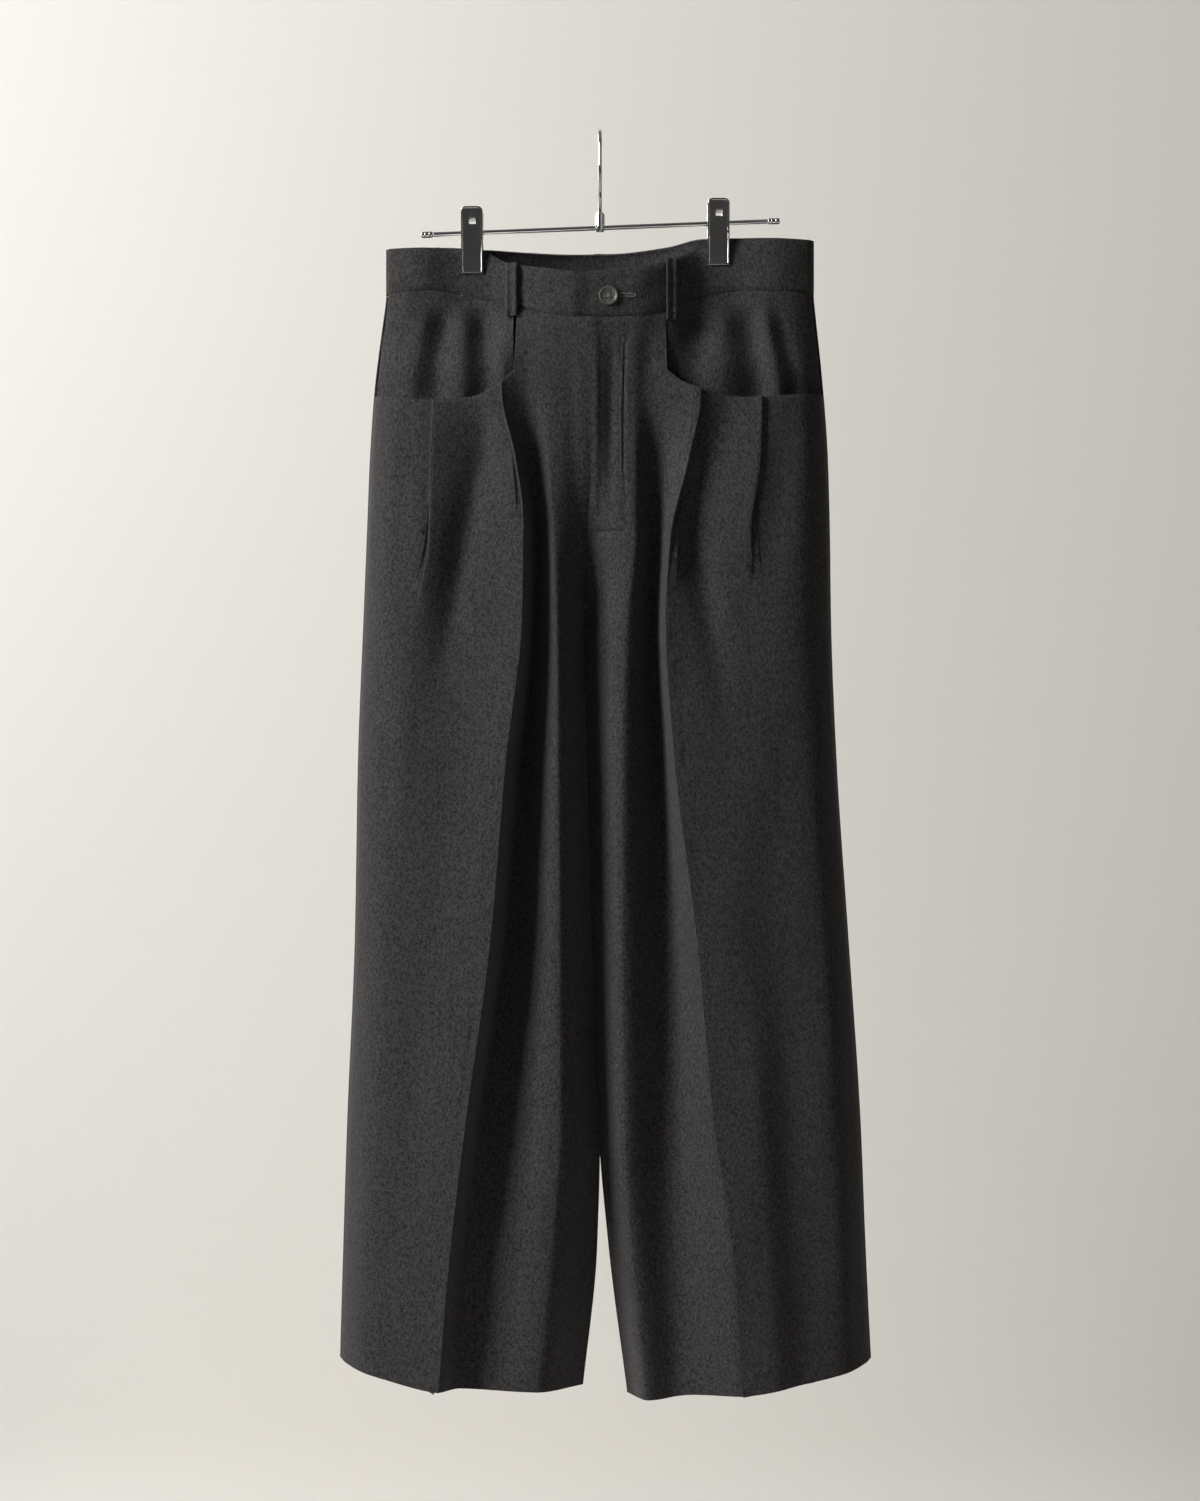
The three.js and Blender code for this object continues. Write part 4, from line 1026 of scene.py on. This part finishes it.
def marks_group():
    """Fine handling marks on a polished surface, as a roughness between two values."""
    tree = shader_group("handling marks", [("Polished", "Float"), ("Dulled", "Float"), ("Scale", "Float")],
                        [("Roughness", "Float"), ("Mask", "Float")])
    nodes, links = tree.nodes, tree.links
    given = nodes.new("NodeGroupInput")
    result = nodes.new("NodeGroupOutput")
    place = nodes.new("ShaderNodeTexCoord")
    texture = nodes.new("ShaderNodeTexNoise")
    texture.inputs["Detail"].default_value = 4.0
    links.new(place.outputs["Object"], texture.inputs["Vector"])
    links.new(given.outputs["Scale"], texture.inputs["Scale"])
    spread = nodes.new("ShaderNodeMapRange")
    spread.inputs["From Min"].default_value = 0.35
    spread.inputs["From Max"].default_value = 0.7
    links.new(texture.outputs["Fac"], spread.inputs["Value"])
    links.new(given.outputs["Polished"], spread.inputs["To Min"])
    links.new(given.outputs["Dulled"], spread.inputs["To Max"])
    links.new(spread.outputs["Result"], result.inputs["Roughness"])
    links.new(texture.outputs["Fac"], result.inputs["Mask"])
    return tree


MARKS = marks_group()


def marked_material(name, dark, light, metallic, polished, dulled, scale):
    material, marks = grouped_material(name, MARKS, {"Polished": polished, "Dulled": dulled, "Scale": scale})
    nodes, links = material.node_tree.nodes, material.node_tree.links
    shader = nodes["Principled BSDF"]
    tint = nodes.new("ShaderNodeMix")
    tint.data_type = "RGBA"
    tint.inputs[6].default_value = (*dark, 1)
    tint.inputs[7].default_value = (*light, 1)
    links.new(marks.outputs["Mask"], tint.inputs["Factor"])
    links.new(tint.outputs[2], shader.inputs["Base Color"])
    links.new(marks.outputs["Roughness"], shader.inputs["Roughness"])
    shader.inputs["Metallic"].default_value = metallic
    return material


HORN = marked_material("grey horn", (0.02, 0.023, 0.02), (0.11, 0.115, 0.1), 0.0, 0.3, 0.5, 210.0)
PALE_THREAD = plain_material("pale thread", (0.2, 0.19, 0.17), 0.75)


def place_hard(piece, node, material):
    piece.data.materials.clear()
    piece.data.materials.append(material)
    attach(piece, "root")
    if node:
        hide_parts(node)


def make_button():
    face_y = band_front_y(BUTTON_X) - SEAM_GAP - 1.0
    centre = Vector((BUTTON_X, face_y - BUTTON_THICK / 2, BUTTON_Z)) * MM
    add_cylinder(BUTTON_RADIUS, BUTTON_THICK, centre, (math.pi / 2, 0, 0), 64)
    piece = named("horn_button")
    apply_place()
    bpy.ops.object.mode_set(mode="EDIT")
    pick(piece, lambda at, normal: normal.y < -0.9)
    bpy.ops.mesh.inset(thickness=BUTTON_RIM * MM)
    bpy.ops.mesh.inset(thickness=0.9 * MM)
    bpy.ops.transform.translate(value=(0, 0.9 * MM, 0))
    bpy.ops.mesh.inset(thickness=2.2 * MM)
    bpy.ops.transform.translate(value=(0, 0.25 * MM, 0))
    bpy.ops.object.mode_set(mode="OBJECT")
    apply_modifier(piece, "BEVEL", width=0.45 * MM, segments=3, limit_method="ANGLE")
    for a, b in ((1, 1), (1, -1), (-1, 1), (-1, -1)):
        at = centre + Vector((a * HOLE_SPREAD, 0, b * HOLE_SPREAD)) * MM
        cut_out(piece, add_cylinder(BUTTON_HOLE, 8, at, (math.pi / 2, 0, 0), 20))
    soften(piece, 40)
    place_hard(piece, "button", HORN)
    for turn in (1, -1):
        at = centre + Vector((0, -0.15, 0)) * MM
        add_cylinder(CROSS_RADIUS, CROSS_LENGTH, at, (0, turn * math.pi / 4, 0), 10)
        strand = named(f"button_thread_{'up' if turn > 0 else 'down'}")
        apply_place()
        apply_modifier(strand, "BEVEL", width=0.3 * MM, segments=2)
        soften(strand, 60)
        place_hard(strand, None, PALE_THREAD)


make_button()

# Sewing: runs of short thread stitches, sunk a little into the nap, as the two rows of the fly, the
# bar at its foot, the hems, the loops and the buttonhole. Each run is one joined mesh.
STITCH = 2.7
STITCH_GAP = 0.9
HEM_ROW = -TURN_UP_ROWS
FLY_ROW = [(25.2, -173), (22.3, -195), (20.8, -240), (20.8, -282), (22.2, -356)]
FLY_ROW_GAP = 3.6
FLY_BAR_Z = -359.5
LOOP_ROW = 1.9
THREAD = plain_material("charcoal thread", (0.05, 0.048, 0.046), 0.8)
DARK_THREAD = plain_material("black thread", (0.008, 0.008, 0.0085), 0.9)


def stitch_mesh(name, runs, material, width=0.5, height=0.22):
    verts = []
    faces = []
    sides = ((0, 2, 4), (2, 1, 4), (1, 3, 4), (3, 0, 4), (2, 0, 5), (1, 2, 5), (3, 1, 5), (0, 3, 5))
    for centre, along, normal, length in runs:
        aside = np.cross(along, normal)
        start = len(verts)
        verts += [centre - along * length / 2, centre + along * length / 2, centre - aside * width / 2,
                  centre + aside * width / 2, centre + normal * height, centre - normal * height * 1.6]
        faces += [tuple(start + i for i in side) for side in sides]
    mesh = bpy.data.meshes.new(name)
    mesh.from_pydata([tuple(v * MM) for v in verts], [], faces)
    made = bmesh.new()
    made.from_mesh(mesh)
    bmesh.ops.recalc_face_normals(made, faces=made.faces)
    made.to_mesh(mesh)
    made.free()
    place_hard(add_object(name, mesh), None, material)


def along_line(points, normals, pitch=STITCH + STITCH_GAP, length=STITCH):
    """Stitches at an even pitch along a line of points."""
    points = np.asarray(points, float)
    normals = np.asarray(normals, float)
    walked = np.concatenate([[0], np.cumsum(np.linalg.norm(np.diff(points, axis=0), axis=1))])
    runs = []
    for at in np.arange(pitch / 2, walked[-1] - pitch / 2, pitch):
        centre = np.array([np.interp(at, walked, points[:, k]) for k in range(3)])
        ahead = np.array([np.interp(at + 0.6, walked, points[:, k]) for k in range(3)])
        behind = np.array([np.interp(at - 0.6, walked, points[:, k]) for k in range(3)])
        normal = np.array([np.interp(at, walked, normals[:, k]) for k in range(3)])
        along = (ahead - behind) / np.linalg.norm(ahead - behind)
        normal = normal - along * (normal @ along)
        runs.append((centre, along, normal / np.linalg.norm(normal), length))
    return runs


def grid_row(grid, row, outward):
    """Points along one row of a panel, without its two ends, and the normals there."""
    points = grid[row]
    across = np.gradient(points, axis=0)
    down = grid[row] - grid[row - 2]
    normal = np.cross(across, down)
    normal /= np.linalg.norm(normal, axis=1, keepdims=True) + 1e-12
    if (normal @ np.array(outward)).sum() < 0:
        normal = -normal
    return points[1:-1], normal[1:-1]


def front_point(x, z):
    leg = LEG["left"]
    y = leg.depth(np.array([x]), np.array([z]))[0] + leg.relief(np.array([x]), np.array([z]))[0]
    return (x, y - 0.05, z)


def fly_rows():
    runs = []
    for aside in (0.0, FLY_ROW_GAP):
        path = smooth([(z, x - aside) for x, z in FLY_ROW][::-1])
        points = [front_point(path(z), z) for z in np.linspace(-173, -355, 70)]
        runs += along_line(points, [(0, -1, 0)] * len(points))
    foot = [front_point(x, FLY_BAR_Z) for x in np.linspace(-10, 22, 16)]
    runs += along_line(foot, [(0, -1, 0)] * len(foot), 2.6, 2.2)
    return runs


stitch_mesh("fly_stitches", fly_rows(), DARK_THREAD, 1.4, 0.6)
for stitched_side in ("right", "left"):
    hem_runs = along_line(*grid_row(FRONT_GRID[stitched_side], HEM_ROW, (0, -1, 0)))
    hem_runs += along_line(*grid_row(BACK_GRID[stitched_side], HEM_ROW, (0, 1, 0)))
    stitch_mesh(f"hem_stitches_{stitched_side}", hem_runs, THREAD, 0.45, 0.1)


def loop_rows():
    runs = []
    for _, x, behind in LOOPS:
        facing = 1 if behind else -1
        for aside in (-LOOP_ROW, LOOP_ROW):
            share = np.linspace(0.06, 0.94, 30)
            at = np.full_like(share, x + aside)
            z, y = loop_face(x, behind, at, share)
            points = np.stack([at, y, z], axis=-1)
            runs += along_line(points, np.tile((0.0, facing, 0.0), (len(z), 1)), 3.0, 2.2)
    return runs


stitch_mesh("loop_stitches", loop_rows(), THREAD)
HOLE_START = 17.0
HOLE_END = 30.5
HOLE_Z = -150.4
HOLE_HALF = 1.15
HOLE_PITCH = 0.75
HOLE_PROUD = 0.9
FORWARD = np.array([0, -1.0, 0])
# Painted shade: a near-black material that stands for the shade inside the buttonhole's cut slit.
SLIT_SHADE = plain_material("buttonhole slit painted shade", (0.004, 0.004, 0.004), 1.0)


def buttonhole_rows():
    runs = []
    for x in np.arange(HOLE_START, HOLE_END, HOLE_PITCH):
        for side in (-1, 1):
            centre = np.array([x, band_front_y(x) - HOLE_PROUD, HOLE_Z + side * HOLE_HALF])
            runs.append((centre, np.array([0.1, 0, 1.0]) / math.hypot(0.1, 1), FORWARD, 1.9))
    for turn in np.linspace(-75, 75, 7):
        angle = math.radians(turn)
        reach = np.array([math.cos(angle), 0, math.sin(angle)])
        centre = np.array([HOLE_END, band_front_y(HOLE_END) - HOLE_PROUD, HOLE_Z]) + reach * 1.1
        runs.append((centre, reach, FORWARD, 1.8))
    return runs


stitch_mesh("buttonhole_stitches", buttonhole_rows(), PALE_THREAD, 0.55, 0.3)
# The slit between the two rows of buttonhole stitches is a thin strip of painted shade laid on the band, not
# an opening.
slit_middle = (HOLE_START + HOLE_END) / 2
slit_centre = np.array([slit_middle, band_front_y(slit_middle) - 1.0, HOLE_Z])
slit_run = (slit_centre, np.array([1.0, 0, 0]), FORWARD, HOLE_END - HOLE_START)
stitch_mesh("buttonhole_slit_painted_shade", [slit_run], SLIT_SHADE, 0.9, 0.12)

# Hanger: polished chromed steel. A wire hook turns in a small ferrule that carries a straight bar
# with a cap on each end, and the bar carries two sprung clips that pinch the waistband.
WIRE_RADIUS = 1.65
HOOK_RADIUS = 20.65
HOOK_CENTRE_Z = -19
HOOK_SHANK = [(0, -79.5), (0, -73), (-3, -64), (-14, -50), (-19.6, -38)]
BAR_RADIUS = 2.2
BAR_START = Vector((-150.5, 0, -92.29))
BAR_STOP = Vector((151.5, 0, -80.51))
BAR_TILT = math.atan2(BAR_STOP.z - BAR_START.z, BAR_STOP.x - BAR_START.x)
BAR_WAY = Vector((math.cos(BAR_TILT), 0, math.sin(BAR_TILT)))
CAP_RADIUS = 2.9
CAP_LENGTH = 10.4
CAP_RINGS = (-2.0, 2.0)
CAP_INSET = 5.0
FERRULE_RADIUS = 4.3
FERRULE_LENGTH = 15.6
FERRULE_TOP = 12.4
SPRING_RADIUS = 3.6
SPRING_LENGTH = 15.6
SPRING_RINGS = (-6, -4.8, -3.6, -2.4, -1.2, 0, 1.2, 2.4, 3.6, 4.8, 6)
CLIP_WIDTH = 19.6
CLIP_HEIGHT = 59.5
CLIP_SHEET = 1.2
CLIP_SPREAD = 8
LEAF_ARCH = 4.6
RIM_WIDTH = 1.5
RIM_RISE = 0.7
RIM_DISH = 0.8
PUNCH_SIZE = (5.8, 6, 5.4)
PUNCH_DROP = 13.2
FLANGE_SIZE = (1.0, 4.4, 28)
FLANGE_BACK = 2.3
FLANGE_DROP = 20.5
CLIP_TOP = {"right": -68, "left": -60.6}
CHROME = marked_material("polished chrome", (0.62, 0.63, 0.64), (0.86, 0.87, 0.88), 1.0, 0.05, 0.14, 60.0)


def bar_z(x):
    return mix(BAR_START.z, BAR_STOP.z, (x - BAR_START.x) / (BAR_STOP.x - BAR_START.x))


def make_hook():
    points = list(HOOK_SHANK)
    for i in range(13):
        angle = math.pi * (1.04 - 1.22 * i / 12)
        points.append((math.cos(angle) * HOOK_RADIUS, HOOK_CENTRE_Z + math.sin(angle) * HOOK_RADIUS))
    curve = bpy.data.curves.new("hook", "CURVE")
    curve.dimensions = "3D"
    curve.bevel_depth = WIRE_RADIUS * MM
    curve.bevel_resolution = 7
    curve.resolution_u = 10
    curve.use_fill_caps = True
    spline = curve.splines.new("BEZIER")
    spline.bezier_points.add(len(points) - 1)
    for point, (y, z) in zip(spline.bezier_points, points):
        point.co = (0, y * MM, z * MM)
        point.handle_left_type = "AUTO"
        point.handle_right_type = "AUTO"
    wire = add_object("hook", curve)
    bpy.context.view_layer.objects.active = wire
    wire.select_set(True)
    bpy.ops.object.convert(target="MESH")
    piece = named("chrome_hook")
    soften(piece, 50)
    place_hard(piece, "hanger_hook", CHROME)


def extrude(*move):
    bpy.ops.mesh.extrude_region_move(TRANSFORM_OT_translate={"value": tuple(step * MM for step in move)})


def join_newest(piece):
    """Join the object that was just made to a piece."""
    added = bpy.context.object
    apply_place()
    bpy.ops.object.select_all(action="DESELECT")
    added.select_set(True)
    piece.select_set(True)
    bpy.context.view_layer.objects.active = piece
    bpy.ops.object.join()


def add_box(size, place):
    """A box at a place, both in millimetres."""
    bpy.ops.mesh.primitive_cube_add(size=1, location=tuple(at * MM for at in place),
                                    scale=tuple(side * MM for side in size))
    return bpy.context.object


def make_rod(name, node, centre, radius, length, bevel, rings=()):
    """A rod that lies along the bar, with rings round it at distances from its middle."""
    turn = (0, math.pi / 2 - BAR_TILT, 0)
    add_cylinder(radius, length, centre * MM, turn)
    piece = named(name)
    apply_place()
    apply_modifier(piece, "BEVEL", width=bevel * MM, segments=4, limit_method="ANGLE")
    for along in rings:
        at = centre + BAR_WAY * along
        bpy.ops.mesh.primitive_torus_add(major_segments=40, minor_segments=10, major_radius=radius * MM,
                                         minor_radius=0.5 * MM, location=at * MM, rotation=turn)
        join_newest(piece)
    soften(piece, 40)
    place_hard(piece, node, CHROME)


def make_ferrule():
    middle_z = bar_z(0) + FERRULE_TOP - FERRULE_LENGTH / 2
    add_cylinder(FERRULE_RADIUS, FERRULE_LENGTH, (0, 0, middle_z * MM))
    piece = named("chrome_ferrule")
    bpy.ops.object.mode_set(mode="EDIT")
    pick(piece, lambda at, normal: normal.z > 0.9)
    bpy.ops.mesh.inset(thickness=1.2 * MM)
    extrude(0, 0, 1.6)
    pick(piece, lambda at, normal: normal.z < -0.9)
    bpy.ops.mesh.inset(thickness=1.0 * MM)
    extrude(0, 0, -0.8)
    bpy.ops.object.mode_set(mode="OBJECT")
    apply_place()
    apply_modifier(piece, "BEVEL", width=0.4 * MM, segments=3, limit_method="ANGLE")
    soften(piece, 40)
    place_hard(piece, "hanger_ferrule", CHROME)


def make_leaf(side, name, facing):
    """An arched sheet leaf with a proud rim round its face and flanges folded back at its sides."""
    add_box((CLIP_WIDTH, CLIP_SHEET, CLIP_HEIGHT), (0, 0, CLIP_HEIGHT / 2))
    piece = named(f"chrome_clip_{side}_{name}")
    apply_place()
    bpy.ops.object.mode_set(mode="EDIT")
    bpy.ops.mesh.select_mode(type="EDGE")
    bpy.ops.mesh.select_all(action="DESELECT")
    made = bmesh.from_edit_mesh(piece.data)
    for edge in made.edges:
        middle = (edge.verts[0].co + edge.verts[1].co) / 2
        lies_in_depth = abs(edge.verts[0].co.y - edge.verts[1].co.y) > 0.5 * CLIP_SHEET * MM
        edge.select_set(bool(lies_in_depth and middle.z > 0.9 * CLIP_HEIGHT * MM))
    bmesh.update_edit_mesh(piece.data)
    bpy.ops.mesh.bevel(offset=LEAF_ARCH * MM, segments=6)
    pick(piece, lambda at, normal: normal.y < -0.9)
    extrude(0, -RIM_RISE, 0)
    bpy.ops.mesh.inset(thickness=RIM_WIDTH * MM)
    extrude(0, RIM_DISH, 0)
    bpy.ops.object.mode_set(mode="OBJECT")
    cut_out(piece, add_box(PUNCH_SIZE, (-0.3 * facing, 0, CLIP_HEIGHT - PUNCH_DROP)))
    for edge in (-1, 1):
        aside = edge * (CLIP_WIDTH - FLANGE_SIZE[0]) / 2
        add_box(FLANGE_SIZE, (aside, FLANGE_BACK, CLIP_HEIGHT - FLANGE_DROP))
        join_newest(piece)
    apply_modifier(piece, "BEVEL", width=0.55 * MM, segments=4, limit_method="ANGLE")
    tilt = math.atan2(CLIP_SPREAD, CLIP_HEIGHT)
    lean_back = Matrix.Rotation(tilt, 4, "X")
    turned = Matrix.Rotation(math.pi, 4, "Z") if facing > 0 else Matrix.Identity(4)
    seat = BAND_FACE + SEAM_GAP + CLIP_SHEET / 2
    place = Vector((CLIP_X[side], facing * seat, CLIP_TOP[side] - CLIP_HEIGHT)) * MM
    piece.data.transform(Matrix.Translation(place) @ turned @ lean_back)
    soften(piece, 35)
    place_hard(piece, f"clip_{side}_{name}", CHROME)


make_hook()
make_ferrule()
bar_length = (BAR_STOP - BAR_START).length - 1
make_rod("chrome_bar", "hanger_bar", (BAR_START + BAR_STOP) / 2, BAR_RADIUS, bar_length, 0.3)
for end_side, end_place, end_turn in (("right", BAR_START, 1), ("left", BAR_STOP, -1)):
    end_centre = end_place + BAR_WAY * (-CAP_INSET * end_turn)
    make_rod(f"chrome_bar_end_{end_side}", f"bar_end_{end_side}", end_centre, CAP_RADIUS, CAP_LENGTH, 0.8,
             CAP_RINGS)
for clip_side in ("right", "left"):
    clip_centre = Vector((CLIP_X[clip_side], 0, bar_z(CLIP_X[clip_side])))
    make_rod(f"chrome_clip_{clip_side}_spring", f"clip_{clip_side}_spring", clip_centre, SPRING_RADIUS,
             SPRING_LENGTH, 0.4, SPRING_RINGS)
    make_leaf(clip_side, "front", -1)
    make_leaf(clip_side, "back", 1)
